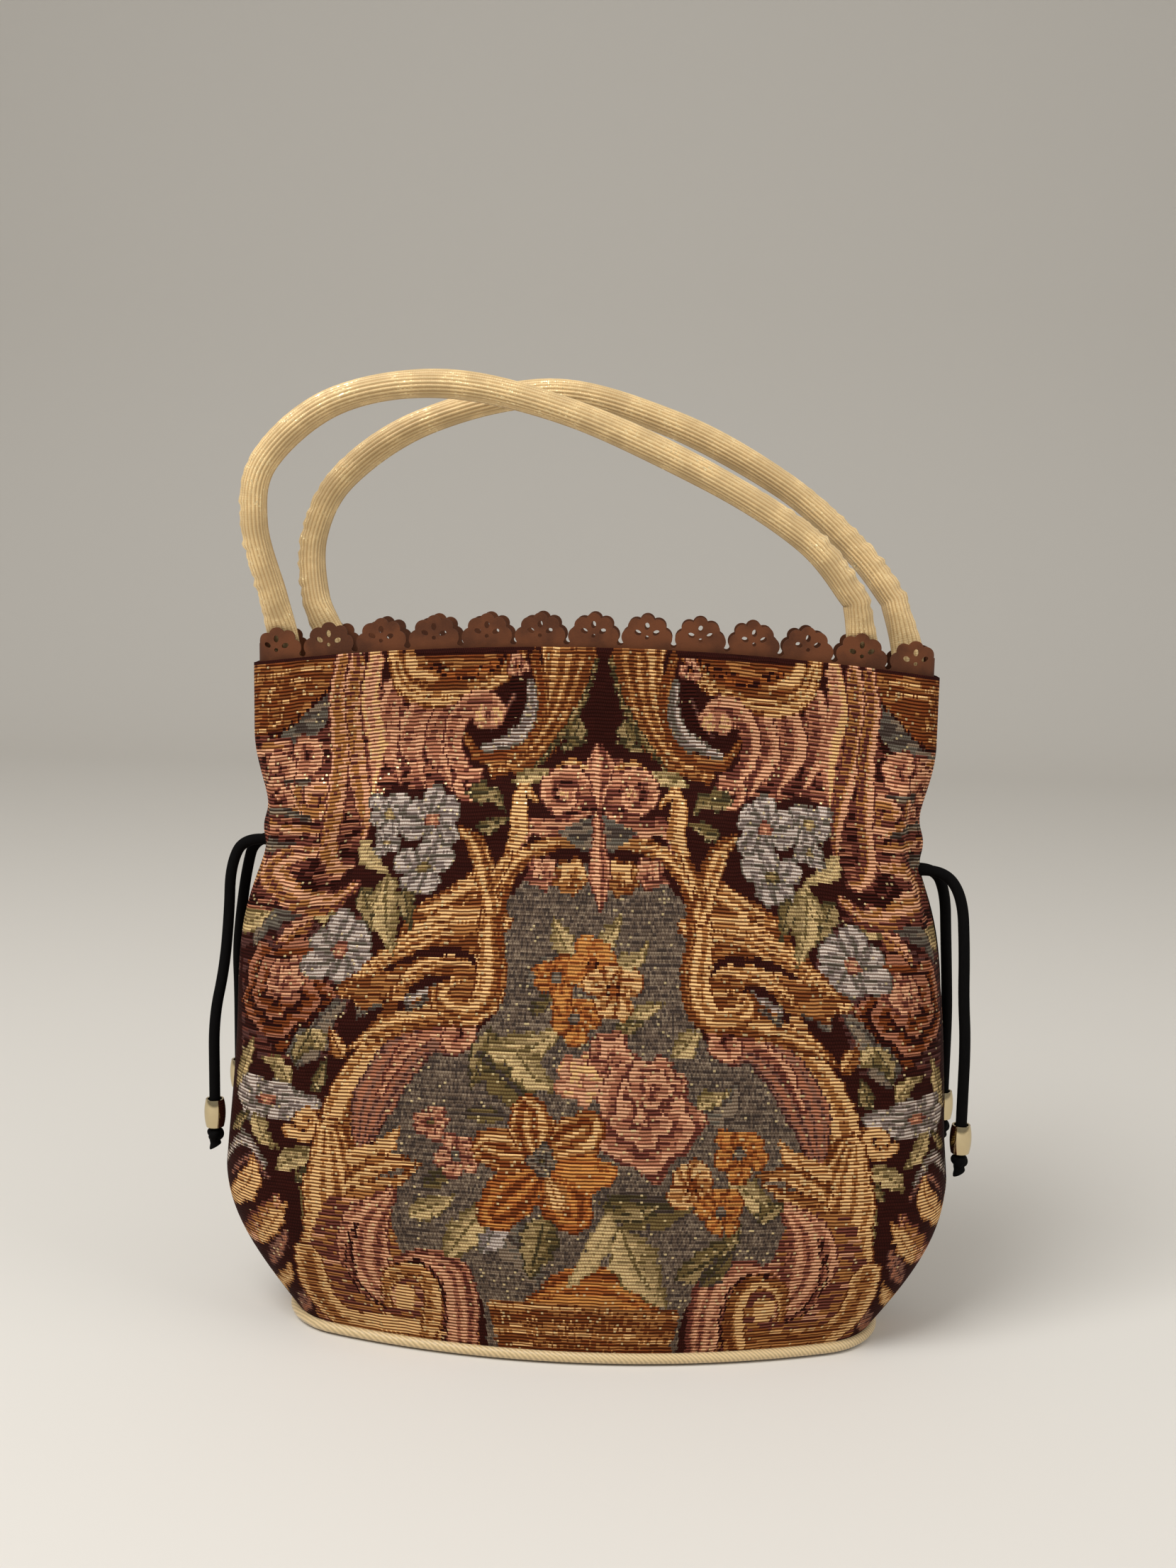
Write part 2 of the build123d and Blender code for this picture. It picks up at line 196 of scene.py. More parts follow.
# Routes of the free cord ends, from the side holes to the knots, in millimetres
CORD_ROUTES = {
    "left_front": (
        (-93.4, -1.8, 141.9),
        (-100.5, -1.8, 142.6),
        (-104.6, -2.2, 134.0),
        (-105.0, -2.6, 120.0),
        (-106.0, -5.0, 104.0),
        (-108.4, -8.5, 90.0),
        (-108.4, -8.5, 72.0),
        (-108.4, -8.5, 57.0),
    ),
    "left_back": (
        (-93.4, 1.8, 141.9),
        (-98.4, 1.8, 141.6),
        (-101.0, 2.6, 132.0),
        (-103.4, 4.6, 118.0),
        (-105.4, 8.5, 106.0),
        (-106.2, 13.0, 94.0),
        (-106.2, 13.0, 79.0),
        (-106.2, 13.0, 62.4),
    ),
    "right_front": (
        (93.4, -1.8, 138.1),
        (100.6, -1.8, 138.8),
        (106.4, -3.6, 131.5),
        (107.2, -6.4, 116.0),
        (107.4, -8.0, 102.0),
        (108.4, -8.5, 90.0),
        (108.4, -8.5, 72.0),
        (108.4, -8.5, 57.0),
    ),
    "right_back": (
        (93.4, 1.8, 138.1),
        (98.8, 1.8, 138.4),
        (102.6, 4.4, 131.0),
        (104.0, 8.0, 117.0),
        (105.4, 12.0, 104.0),
        (106.2, 13.0, 92.0),
        (106.2, 13.0, 76.0),
        (106.2, 13.0, 60.0),
    ),
}

# Handle routes: shares of half the mouth width, and of the rise above the mouth
HANDLE_SHARES = {
    "handle_front": (
        (-0.935, 0.17),
        (-0.98, 0.46),
        (-0.945, 0.71),
        (-0.74, 0.94),
        (-0.43, 1.01),
        (-0.08, 0.91),
        (0.31, 0.68),
        (0.60, 0.44),
        (0.735, 0.23),
        (0.755, 0.17),
    ),
    "handle_back": (
        (-0.83, 0.17),
        (-0.84, 0.42),
        (-0.75, 0.66),
        (-0.51, 0.88),
        (-0.14, 1.0),
        (0.21, 0.885),
        (0.54, 0.65),
        (0.755, 0.40),
        (0.855, 0.23),
        (0.875, 0.17),
    ),
}


def linear(red, green, blue):
    """Scene colour of a display colour given from 0 to 255."""
    shares = [value / 255 for value in (red, green, blue)]
    return tuple(s / 12.92 if s <= 0.04045 else ((s + 0.055) / 1.055) ** 2.4 for s in shares)


def length(name, description, default):
    """Length property, in metres."""
    return bpy.props.FloatProperty(
        name=name, description=description, default=default, min=0, unit="LENGTH", precision=4
    )


def share(name, description, default):
    """Property that is a share of another size."""
    return bpy.props.FloatProperty(name=name, description=description, default=default, subtype="FACTOR")


def colour(name, description, *display):
    """Colour property, given as it displays."""
    return bpy.props.FloatVectorProperty(
        name=name, description=description, default=linear(*display), subtype="COLOR", min=0, max=1
    )


class BodySizes(bpy.types.PropertyGroup):
    """Sizes of the sewn body."""

    bag_height: length("Bag height", "Mouth edge at its middle", 200 * MM)
    mouth_bow: length("Mouth bow", "Drop of the mouth edge towards its corners", 7 * MM)
    mouth_width: length("Mouth width", "Width across the mouth", 195 * MM)
    mouth_depth: length("Mouth depth", "Depth of the mouth", 15 * MM)
    hem_height: length("Hem height", "Height of the straight band under the mouth", 19 * MM)
    waist_height: length("Waist height", "Height of the drawn-in waist", 146 * MM)
    waist_width: length("Waist width", "Width at the waist", 184 * MM)
    waist_depth: length("Waist depth", "Depth at the waist", 36 * MM)
    belly_height: length("Belly height", "Height of the widest place", 46 * MM)
    belly_width: length("Belly width", "Width at the widest place", 212 * MM)
    belly_depth: length("Belly depth", "Depth at the widest place", 74 * MM)
    base_width: length("Base width", "Width at the base seam", 172 * MM)
    base_depth: length("Base depth", "Depth at the base seam", 66 * MM)
    seam_height: length("Seam height", "Height of the base seam above the floor", 3.6 * MM)
    base_end: share("Base end", "Roundness of the base's ends", 0.67)
    belly_end: share("Belly end", "Roundness of the belly's ends", 0.70)
    waist_end: share("Waist end", "Roundness of the waist's ends", 0.78)
    mouth_end: share("Mouth end", "Roundness of the mouth's ends", 0.92)
    gather_depth: length("Gather depth", "Depth of the even gathers at the waist", 0.6 * MM)
    fold_depth: length("Fold depth", "Depth of the uneven folds at the waist", 2.4 * MM)
    casing_bump: length("Casing bump", "Cloth that the drawstring pushes out at a side hole", 2.4 * MM)
    hem_turn: length("Hem turn", "Cloth turned in at the mouth", 5 * MM)


class YarnColours(bpy.types.PropertyGroup):
    """Colours of the yarns that the tapestry is woven from."""

    oxblood: colour("Oxblood", "Ground", 46, 16, 11)
    plum: colour("Plum", "Dark of the mauve", 80, 50, 46)
    iron: colour("Iron", "Dark of the grey field", 68, 58, 52)
    pewter: colour("Pewter", "Middle of the grey field", 96, 82, 70)
    mist: colour("Mist", "Light of the grey field", 126, 111, 94)
    slate: colour("Slate", "Blue-grey leaves", 96, 90, 80)
    lilac: colour("Lilac", "Middle of the pale flowers", 124, 113, 108)
    frost: colour("Frost", "Light of the pale flowers", 182, 171, 162)
    umber: colour("Umber", "Dark of the gold scrolls", 104, 58, 28)
    gold: colour("Gold", "Middle of the gold scrolls", 152, 105, 60)
    cream: colour("Cream", "Light of the gold scrolls", 206, 168, 116)
    wine: colour("Wine", "Dark of the pink scrolls", 98, 54, 44)
    rose: colour("Rose", "Middle of the pink scrolls", 156, 104, 80)
    blush: colour("Blush", "Light of the pink scrolls", 198, 150, 118)
    mauve: colour("Mauve", "Fluted side of the pink scrolls", 134, 96, 80)
    brick: colour("Brick", "Dark of the orange flowers", 108, 56, 26)
    orange: colour("Orange", "Middle of the orange flowers", 152, 90, 44)
    amber: colour("Amber", "Light of the orange flowers", 184, 128, 68)
    moss: colour("Moss", "Dark leaves", 64, 56, 36)
    olive: colour("Olive", "Middle of the leaves", 104, 88, 54)
    sage: colour("Sage", "Light leaves", 150, 130, 90)
    straw: colour("Straw", "Light of the leaves", 192, 168, 120)


class FinishColours(bpy.types.PropertyGroup):
    """Colours of the plain materials."""

    handle: colour("Handle cloth", "Pale gold cloth of the handles", 228, 196, 140)
    handle_light: colour("Handle thread", "Bright thread in the handles", 246, 226, 176)
    piping: colour("Piping", "Cloth of the base piping", 204, 178, 132)
    leather: colour("Trim leather", "Brown of the scalloped trim", 96, 54, 30)
    leather_dark: colour("Trim edge", "Darker patches of the trim", 62, 33, 18)
    cord: colour("Cord", "Black of the drawstrings", 9, 8, 8)
    metal: colour("Bead metal", "Polished pale gold", 206, 188, 150)
    lining: colour("Lining", "Dark lining cloth", 74, 48, 42)
    board: colour("Board", "Stiff board in the base", 150, 128, 98)


class TrimSizes(bpy.types.PropertyGroup):
    """Sizes of the handles, cords and knots."""

    handle_width: length("Handle width", "Thickness of a stuffed handle", 7 * MM)
    handle_rise: length("Handle rise", "Height of the handles above the mouth", 71 * MM)
    handle_spread: length("Handle spread", "Lean of a handle's top from the middle", 9 * MM)
    foot_width: length("Foot width", "Width of a handle's sewn foot", 9 * MM)
    foot_thickness: length("Foot thickness", "Thickness of a handle's sewn foot", 1.6 * MM)
    outer_inset: length("Outer inset", "Outer foot's distance from the mouth corner", 9 * MM)
    inner_inset: length("Inner inset", "Inner foot's distance from the mouth corner", 22 * MM)
    rib_height: length("Rib height", "Height of the handles' woven ribs", 0.13 * MM)
    seam_lip: length("Seam lip", "Height of the handles' seam", 0.8 * MM)
    cord_diameter: length("Cord diameter", "Thickness of a drawstring", 3.2 * MM)
    knot_turn: length("Knot turn", "Middle radius of a knot's turns", 0.45 * MM)


class StageSettings(bpy.types.PropertyGroup):
    """Floor and light."""

    floor: colour("Floor", "Pale floor and backdrop", 214, 210, 203)
    world_strength: bpy.props.FloatProperty(name="Fill", description="Even light all round", default=0.52)
    key_power: bpy.props.FloatProperty(
        name="Key", description="Power of the main lamp", default=14.0, unit="POWER"
    )
    side_power: bpy.props.FloatProperty(
        name="Side", description="Power of the side lamp", default=3.0, unit="POWER"
    )


class BagSettings(bpy.types.PropertyGroup):
    """All settings of the bag."""

    body: bpy.props.PointerProperty(type=BodySizes)
    yarns: bpy.props.PointerProperty(type=YarnColours)
    finish: bpy.props.PointerProperty(type=FinishColours)
    trim: bpy.props.PointerProperty(type=TrimSizes)
    stage: bpy.props.PointerProperty(type=StageSettings)


# Camera


def camera_axes():
    """Right, up and forward of the photograph's camera."""
    cos_pitch = math.cos(CAMERA_PITCH)
    forward = Vector(
        (math.sin(CAMERA_YAW) * cos_pitch, math.cos(CAMERA_YAW) * cos_pitch, -math.sin(CAMERA_PITCH))
    )
    level = Vector((math.cos(CAMERA_YAW), -math.sin(CAMERA_YAW), 0))
    plumb = level.cross(forward)
    right = math.cos(CAMERA_ROLL) * level + math.sin(CAMERA_ROLL) * plumb
    up = math.cos(CAMERA_ROLL) * plumb - math.sin(CAMERA_ROLL) * level
    return right, up, forward


def photo_pixels(places):
    """Pixels of the photograph at which places show, as two arrays."""
    right, up, forward = (np.array(axis) for axis in camera_axes())
    rays = places - np.array(CAMERA_PLACE)
    depth = rays @ forward
    across = PHOTO_WIDTH / 2 + FOCAL_PIXELS * (rays @ right) / depth
    down = PHOTO_HEIGHT / 2 - FOCAL_PIXELS * (rays @ up) / depth
    return across, down


# Shape of the body


def ease(part):
    """Share eased at both ends."""
    return (1 - np.cos(np.pi * part)) / 2


def body_section(height, body):
    """Half width, half depth and end radius of the body's oval at each height."""
    hem_bottom = body.bag_height - body.mouth_bow - body.hem_height
    low = np.clip((height - body.seam_height) / (body.belly_height - body.seam_height), 0, 1)
    middle = np.clip((height - body.belly_height) / (body.waist_height - body.belly_height), 0, 1)
    high = np.clip((height - body.waist_height) / (hem_bottom - body.waist_height), 0, 1)
    swell = np.sin(np.pi / 2 * low)
    pinch = (ease(middle**WIDTH_POWER) + middle) / 2
    narrow = ease(high)

    def mix(base, belly, waist, mouth, draw):
        lower = base + (belly - base) * swell
        return lower + (waist - belly) * draw + (mouth - waist) * narrow

    width = mix(body.base_width, body.belly_width, body.waist_width, body.mouth_width, pinch)
    draw_in = middle**DEPTH_POWER
    depth = mix(body.base_depth, body.belly_depth, body.waist_depth, body.mouth_depth, draw_in)
    end = mix(body.base_end, body.belly_end, body.waist_end, body.mouth_end, middle)
    return width / 2, depth / 2, end * depth / 2


def oval_places(half_width, half_depth, end_radius, part, offset):
    """Places on the front half of a four-arc oval, a share of the way from left to right seam."""
    side_radius = ((half_width - end_radius) ** 2 + half_depth**2 - end_radius**2) / (
        2 * (half_depth - end_radius)
    )
    side_turn = np.arctan2(half_width - end_radius, side_radius - half_depth)
    end_run = end_radius * (np.pi / 2 - side_turn)
    run = (2 * end_run + 2 * side_radius * side_turn) * np.minimum(part, 1 - part)
    at_end = run < end_run
    end_angle = run / end_radius
    side_angle = side_turn - (run - end_run) / side_radius
    end_x = -(half_width - end_radius) - (end_radius + offset) * np.cos(end_angle)
    end_y = -(end_radius + offset) * np.sin(end_angle)
    side_x = -(side_radius + offset) * np.sin(side_angle)
    side_y = side_radius - half_depth - (side_radius + offset) * np.cos(side_angle)
    x = np.where(at_end, end_x, side_x)
    return np.where(part <= 0.5, x, -x), np.where(at_end, end_y, side_y)


# Uneven folds at the waist: share across, depth share, width share
WAIST_FOLDS = (
    (0.045, 0.9, 0.018),
    (0.085, -1.0, 0.02),
    (0.13, 1.2, 0.022),
    (0.19, -0.8, 0.025),
    (0.25, 0.7, 0.03),
    (0.35, -0.4, 0.04),
    (0.47, 0.3, 0.05),
    (0.60, -0.35, 0.04),
    (0.70, 0.6, 0.035),
    (0.78, -0.9, 0.025),
    (0.835, 1.1, 0.022),
    (0.88, -1.0, 0.02),
    (0.93, 1.0, 0.02),
    (0.965, -0.8, 0.015),
)


def panel_swell(part, height, body):
    """How far the cloth stands off its plain oval: gathers and folds at the waist, slack below."""
    from_waist = height - body.waist_height
    reach = np.where(from_waist > 0, GATHER_REACH_UP, GATHER_REACH_DOWN)
    fade = np.cos(np.pi / 2 * np.clip(np.abs(from_waist) / reach, 0, 1)) ** 2
    swell = body.gather_depth * np.cos(2 * np.pi * GATHER_COUNT * part) * fade
    drift = from_waist / body.bag_height * FOLD_DRIFT
    for middle, depth, width in WAIST_FOLDS:
        aside = (part - middle + drift * (middle - 0.5)) / width
        swell = swell + body.fold_depth * max(depth, FOLD_HOLLOW) * fade * np.exp(-(aside**2))
    from_seam = np.minimum(part, 1 - part) / CASING_SPREAD
    from_hole = from_waist / CASING_RISE
    swell = swell + body.casing_bump * np.exp(-(from_seam**2) - from_hole**2)
    slack = 1.0
    for across, climb, shift in SLACK_WAVES:
        slack = slack * np.sin(across * part + climb * height + shift)
    inside = np.sin(np.pi * np.clip((height - body.seam_height) / body.waist_height, 0, 1))
    return swell + SLACK_DEPTH * slack * inside


def panel_places(body):
    """Grid of places on the front panel, from the base seam up over the mouth edge."""
    part = np.linspace(0, 1, WARP_COUNT + 1)[None, :]
    climb = np.linspace(0, 1, PICK_COUNT + 1)[:, None]
    corner = body.bag_height - body.mouth_bow
    flat_x = body.mouth_width * (part - 0.5)
    edge = corner + body.mouth_bow * (1 - (2 * flat_x / body.mouth_width) ** 2)
    height = body.seam_height + (edge - body.seam_height) * climb
    x, y = oval_places(*body_section(height, body), part, panel_swell(part, height, body))
    rows = [np.stack([x, y, height], axis=-1)]
    for row in range(1, HEM_ROWS + 1):
        turn = np.pi * row / HEM_ROWS
        inset = -HEM_INSET * (1 - np.cos(turn)) / 2
        drop = body.hem_turn * (row / HEM_ROWS) ** 2
        hem_x, hem_y = oval_places(*body_section(edge, body), part, inset + 0 * edge)
        rows.append(np.stack([hem_x, hem_y, edge - drop], axis=-1))
    return np.concatenate(rows)


def mesh_from_grid(name, places, wrap=False):
    """Mesh of a grid of places, with its cell corners in row order."""
    rows, columns = places.shape[:2]
    index = np.arange(rows * columns).reshape(rows, columns)
    if wrap:
        index = np.concatenate([index, index[:, :1]], axis=1)
    cells = np.stack([index[:-1, :-1], index[:-1, 1:], index[1:, 1:], index[1:, :-1]], axis=-1)
    mesh = bpy.data.meshes.new(name)
    mesh.from_pydata(places.reshape(-1, 3), [], cells.reshape(-1, 4))
    mesh.polygons.foreach_set("use_smooth", np.ones(len(mesh.polygons), dtype=bool))
    mesh.update()
    return mesh


def map_threads(mesh, rows, columns):
    """Map that counts the threads across and the picks up a grid mesh."""
    row, column = np.mgrid[0:rows, 0:columns].astype(float)
    threads = np.stack([column, column + 1, column + 1, column], axis=-1)
    picks = np.stack([row, row, row + 1, row + 1], axis=-1)
    layer = mesh.uv_layers.new(name="threads")
    layer.uv.foreach_set("vector", np.stack([threads, picks], axis=-1).ravel())


def add_piece(name, mesh, material, body):
    """Object that rides on a body, with a material."""
    piece = bpy.data.objects.new(name, mesh)
    bpy.context.scene.collection.objects.link(piece)
    piece.data.materials.append(material)
    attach(piece, body)
    return piece


# Weaving


def curve_through(spots, steps):
    """Smooth curve through spots, sampled evenly between each two."""
    spots = np.asarray(spots, dtype=float)
    padded = np.concatenate([2 * spots[:1] - spots[1:2], spots, 2 * spots[-1:] - spots[-2:-1]])
    t = np.linspace(0, 1, steps, endpoint=False)[:, None]
    spans = []
    for a, b, c, d in zip(padded, padded[1:], padded[2:], padded[3:]):
        cubic = 3 * (b - c) + d - a
        square = 2 * a - 5 * b + 4 * c - d
        spans.append(b + ((cubic * t + square) * t + (c - a)) * t / 2)
    return np.concatenate(spans + [spots[-1:]])


# Yarns of a motif, from dark to light
RAMPS = {
    "ground": ("oxblood", "oxblood", "oxblood"),
    "shadow": ("oxblood", "plum", "wine"),
    "shell": ("oxblood", "wine", "rose"),
    "field": ("iron", "pewter", "mist"),
    "gold": ("umber", "gold", "cream"),
    "deep_gold": ("umber", "brick", "gold"),
    "copper": ("wine", "gold", "blush"),
    "dusk_rose": ("oxblood", "brick", "rose"),
    "cream": ("gold", "cream", "cream"),
    "pink": ("wine", "rose", "blush"),
    "blush": ("rose", "blush", "cream"),
    "mauve": ("plum", "mauve", "rose"),
    "lilac": ("slate", "lilac", "frost"),
    "slate": ("iron", "slate", "mist"),
    "orange": ("brick", "orange", "amber"),
    "amber": ("orange", "amber", "amber"),
    "lily": ("brick", "gold", "cream"),
    "brick": ("oxblood", "brick", "orange"),
    "olive": ("moss", "olive", "sage"),
    "sage": ("olive", "sage", "straw"),
    "straw": ("sage", "straw", "straw"),
    "moss": ("iron", "moss", "olive"),
}

# Pink leaves that hang under the horns: top, middle, tip and half width
LEAF_FAN = (
    ((478, 190), (448, 262), (480, 364), 36),
    ((424, 184), (400, 262), (428, 356), 36),
    ((366, 160), (350, 250), (378, 346), 32),
)

# Motifs that have no mirror image
SINGLE = {"mirror": False}

# Plaits of the basket from its rim down: height of the first, step and taper from one to the next
BASKET_RIM = 1396
BASKET_STEP = 17
BASKET_TAPER = 4
BASKET_ROWS = ("cream", "deep_gold", "gold", "cream", "deep_gold", "gold", "deep_gold")


class Loom:
    """Woven cells of a panel, coloured motif by motif from tracing points of the photograph."""

    def __init__(self, places, yarns):
        cells = (places[:-1, :-1] + places[1:, :-1] + places[:-1, 1:] + places[1:, 1:]) / 4
        cells = cells[:PICK_COUNT]
        rows, columns = cells.shape[:2]
        self.across = (np.arange(columns) + 0.5) / columns * PANEL_WIDTH - PANEL_WIDTH / 2
        self.up = (np.arange(rows) + 0.5) / rows * PANEL_LENGTH
        pixel_x, pixel_y = photo_pixels(cells)
        self.trace_x = (pixel_x - TRACE_LEFT) / TRACE_STEP
        self.trace_y = (pixel_y - TRACE_TOP) / TRACE_STEP
        side = places[:PICK_COUNT, 1:] - places[:PICK_COUNT, :-1]
        climb = places[1 : PICK_COUNT + 1] - places[:PICK_COUNT]
        facing = np.cross(side, climb[:, :-1])
        hidden = np.sum(facing * (cells - np.array(CAMERA_PLACE)), axis=-1) > 0
        self.trace_x[hidden] = UNSEEN
        self.yarns = {name: np.array(getattr(yarns, name)) for name in yarns.__annotations__}
        chance = np.random.RandomState(YARN_SEED)
        self.runs = self.scatter(chance, rows, columns, TONE_RUN)
        self.grain = self.scatter(chance, rows, columns, 1)
        self.ragged = (self.scatter(chance, rows, columns, EDGE_RUN) - 0.5) * 2 * RAGGED_EDGE
        self.hatch = np.where(np.arange(rows) % 2, HATCH, -HATCH)[:, None] * np.ones((1, columns))
        self.colour = np.tile(self.yarns["oxblood"], (rows, columns, 1))
        self.lines = np.full((rows, columns), GROUND_LINES)

    def fill_hidden(self):
        """Carries the pattern on round the sides, past what the photograph shows."""
        for row, seen in enumerate(self.trace_x < UNSEEN):
            first = np.argmax(seen) + SIDE_CELLS
            last = len(seen) - 1 - np.argmax(seen[::-1]) - SIDE_CELLS
            column = np.arange(len(seen))
            source = np.where(column < first, 2 * first - column, column)
            source = np.where(column > last, 2 * last - column, source)
            self.colour[row] = self.colour[row, source]
            self.lines[row] = self.lines[row, source]

    def scatter(self, chance, rows, columns, run):
        """Chance values that hold for short runs of a pick."""
        values = np.repeat(chance.rand(rows, columns // run + 2), run, axis=1)
        for row in range(rows):
            values[row] = np.roll(values[row], chance.randint(run))
        return values[:, :columns]

    def place(self, points):
        """Cloth coordinates of tracing points, by the nearest cell in view."""
        spots = []
        for x, y in points:
            nearest = np.argmin((self.trace_x - x) ** 2 + (self.trace_y - y) ** 2)
            row, column = divmod(nearest, len(self.across))
            spots.append((self.across[column], self.up[row]))
        return np.array(spots)

    def reflect(self, spots):
        """Spots mirrored in the pattern's middle line, which leans a little."""
        axis = AXIS_FOOT + (AXIS_TOP - AXIS_FOOT) * spots[..., 1] / PANEL_LENGTH
        return np.stack([2 * axis - spots[..., 0], spots[..., 1]], axis=-1)

    def round_motif(self, centre, radius, mirror, squash):
        """Window, sizes and turned coordinates of a round motif and of its mirror image."""
        x, y = centre
        rim = self.place([(x - radius, y), (x + radius, y), (x, y - radius), (x, y + radius)])
        size = np.abs((rim[1, 0] - rim[0, 0], (rim[2, 1] - rim[3, 1]) * squash)) / 2
        spot = self.place([centre])[0]
        spots = ((1, spot), (-1, self.reflect(spot))) if mirror else ((1, spot),)
        for hand, middle in spots:
            window, across, up = self.window(np.array([middle]), size.max() * 1.25)
            yield window, size.mean(), (across - middle[0]) * hand / size[0], (up - middle[1]) / size[1]

    def window(self, spots, margin):
        """Slices of the cells round some spots, and their coordinates."""
        low = spots.min(axis=0) - margin
        high = spots.max(axis=0) + margin
        rows = slice(*np.searchsorted(self.up, (low[1], high[1])))
        columns = slice(*np.searchsorted(self.across, (low[0], high[0])))
        across, up = np.meshgrid(self.across[columns], self.up[rows])
        return (rows, columns), across, up

    def weave(self, window, inside, shade, ramp, lines):
        """Gives cells one of a ramp's three yarns, by their shade."""
        tone = shade + (self.runs[window] - 0.5) * DITHER + self.hatch[window]
        step = np.clip((tone * 3).astype(int), 0, 2)
        yarns = np.array([self.yarns[name] for name in RAMPS[ramp]])
        self.colour[window][inside] = yarns[step[inside]]
        self.lines[window][inside] = lines

    def band(self, points, widths, ramp, lean=0.3, mirror=True, **look):
        """Curved band or leaf of changing half width, and its mirror image."""
        spots = self.place(points)
        half_widths = np.array(widths) * TRACE_UNIT
        self.strip(spots, half_widths, ramp, lean, **look)
        if mirror:
            self.strip(self.reflect(spots), half_widths, ramp, -lean, **look)

    def strip(self, spots, widths, ramp, lean, flutes=0, lines=1.0, vein=0.0, teeth=0, tone=0.64):
        """One band in cloth coordinates, shaded across, and fluted, veined or toothed."""
        path = curve_through(spots, PATH_STEPS)
        window, across, up = self.window(path, widths.max() + RAGGED_EDGE)
        if not across.size:
            return
        gaps = (across[..., None] - path[:, 0]) ** 2 + (up[..., None] - path[:, 1]) ** 2
        nearest = gaps.argmin(axis=-1)
        distance = np.sqrt(gaps.min(axis=-1))
        heading = np.gradient(path, axis=0)[nearest]
        off_x = across - path[nearest, 0]
        off_y = up - path[nearest, 1]
        hand = np.sign(heading[..., 0] * off_y - heading[..., 1] * off_x)
        run = nearest / (len(path) - 1)
        half = np.interp(run, np.linspace(0, 1, len(widths)), widths)
        if teeth:
            half = half * (1 - TOOTH_DEPTH + TOOTH_DEPTH * np.abs(np.sin(np.pi * teeth * run)))
        half = half + self.ragged[window]
        aside = hand * distance / np.maximum(half, 1e-6)
        shade = tone - lean * aside
        if flutes:
            shade = shade + FLUTE_DEPTH * np.cos(np.pi * flutes * (aside + 1) + FLUTE_TWIST * run)
        if vein:
            shade = np.where(np.abs(aside) < vein, 0.0, shade)
        shade = np.where(half - distance < OUTLINE, 0.0, shade)
        self.weave(window, distance < half, shade, ramp, lines)

    def leaf(self, base, tip, width, ramp, bend=0.0, mirror=True, lines=0.6):
        """Pointed leaf with a dark vein, bent to one side by a share of its length."""
        base = np.array(base, dtype=float)
        tip = np.array(tip, dtype=float)
        run = tip - base
        side = np.array((-run[1], run[0])) * bend
        points = [base, base + run * 0.3 + side * 0.8, base + run * 0.65 + side, tip]
        widths = [width * part for part in LEAF_WIDTHS]
        self.band(points, widths, ramp, lean=0.4, mirror=mirror, lines=lines, vein=0.1, teeth=4)

    def curl(self, centre, radius, turns, start, ramp, width, hand=1):
        """Band that winds inwards from a start angle in degrees, to one hand."""
        points = []
        for step in range(int(turns * CURL_STEPS) + 1):
            part = step / (turns * CURL_STEPS)
            angle = math.radians(start) + hand * 2 * math.pi * turns * part
            reach = radius * (1 - CURL_CLOSING * part)
            points.append((centre[0] + reach * math.cos(angle), centre[1] - reach * math.sin(angle)))
        self.band(points, [width * part for part in CURL_WIDTHS], ramp, lean=0.35 * hand)

    def flower(self, centre, radius, petals, ramp, heart, turn=0.0, mirror=True, squash=1.0):
        """Open flower with creased, uneven petals round a small heart."""
        for window, size, x, y in self.round_motif(centre, radius, mirror, squash):
            reach = np.hypot(x, y)
            angle = np.arctan2(y, x) + turn
            wave = np.abs(np.cos(petals / 2 * angle + 0.35 * np.sin(2 * angle + turn)))
            edge = 0.7 + 0.3 * wave**0.5 + 0.1 * np.sin(3 * angle + 5 * turn + petals)
            edge = edge + self.ragged[window] / size
            streaks = 0.3 * np.sin(9 * angle + 7 * reach + petals) + 0.25 * (self.grain[window] - 0.5)
            shade = 0.15 + 0.7 * (reach / edge) ** 0.8 - 0.5 * (wave < 0.22) + streaks
            shade = np.where((edge - reach) * size < OUTLINE, 0.1, shade)
            self.weave(window, reach < edge, shade, ramp, FLOWER_LINES)
            inside = reach < HEART_REACH + self.ragged[window] / size
            self.weave(window, inside, 0.9 - 3 * reach, heart, FLOWER_LINES)

    def rose(self, centre, radius, ramp, turns, mirror=True, squash=1.0):
        """Full rose with ragged petals wound round its middle."""
        for window, size, x, y in self.round_motif(centre, radius, mirror, squash):
            reach = np.hypot(x, y)
            angle = np.arctan2(y, x)
            edge = 0.86 + 0.09 * np.cos(5 * angle + 0.7) + 0.05 * np.cos(9 * angle)
            edge = edge + self.ragged[window] / size
            wind = turns * reach + angle / (2 * np.pi)
            wind = wind + 0.16 * np.sin(5 * angle) + 0.06 * np.sin(11 * angle)
            shade = 0.1 + 0.95 * (wind % 1) ** 0.7 - 0.2 * (y < 0)
            shade = np.where((edge - reach) * size < OUTLINE, 0.1, shade)
            self.weave(window, reach < edge, shade, ramp, ROSE_LINES)

    def patch(self, points, ramp, mirror=True, lines=0.5, tone=0.5, scatter=0.35, fine=False):
        """Filled outline in scattered tones, in fine grains or in long runs."""
        spots = self.place(points)
        for outline in (spots, self.reflect(spots)) if mirror else (spots,):
            window, across, up = self.window(outline, 0)
            across = across + self.ragged[window]
            inside = np.zeros(across.shape, dtype=bool)
            for (x0, y0), (x1, y1) in zip(outline, np.roll(outline, -1, axis=0)):
                if y0 != y1:
                    crossing = (y0 > up) != (y1 > up)
                    inside ^= crossing & (across < (x1 - x0) * (up - y0) / (y1 - y0) + x0)
            chance = self.grain if fine else self.runs
            shade = tone + (chance[window] - 0.5) * scatter
            self.weave(window, inside, shade, ramp, lines)


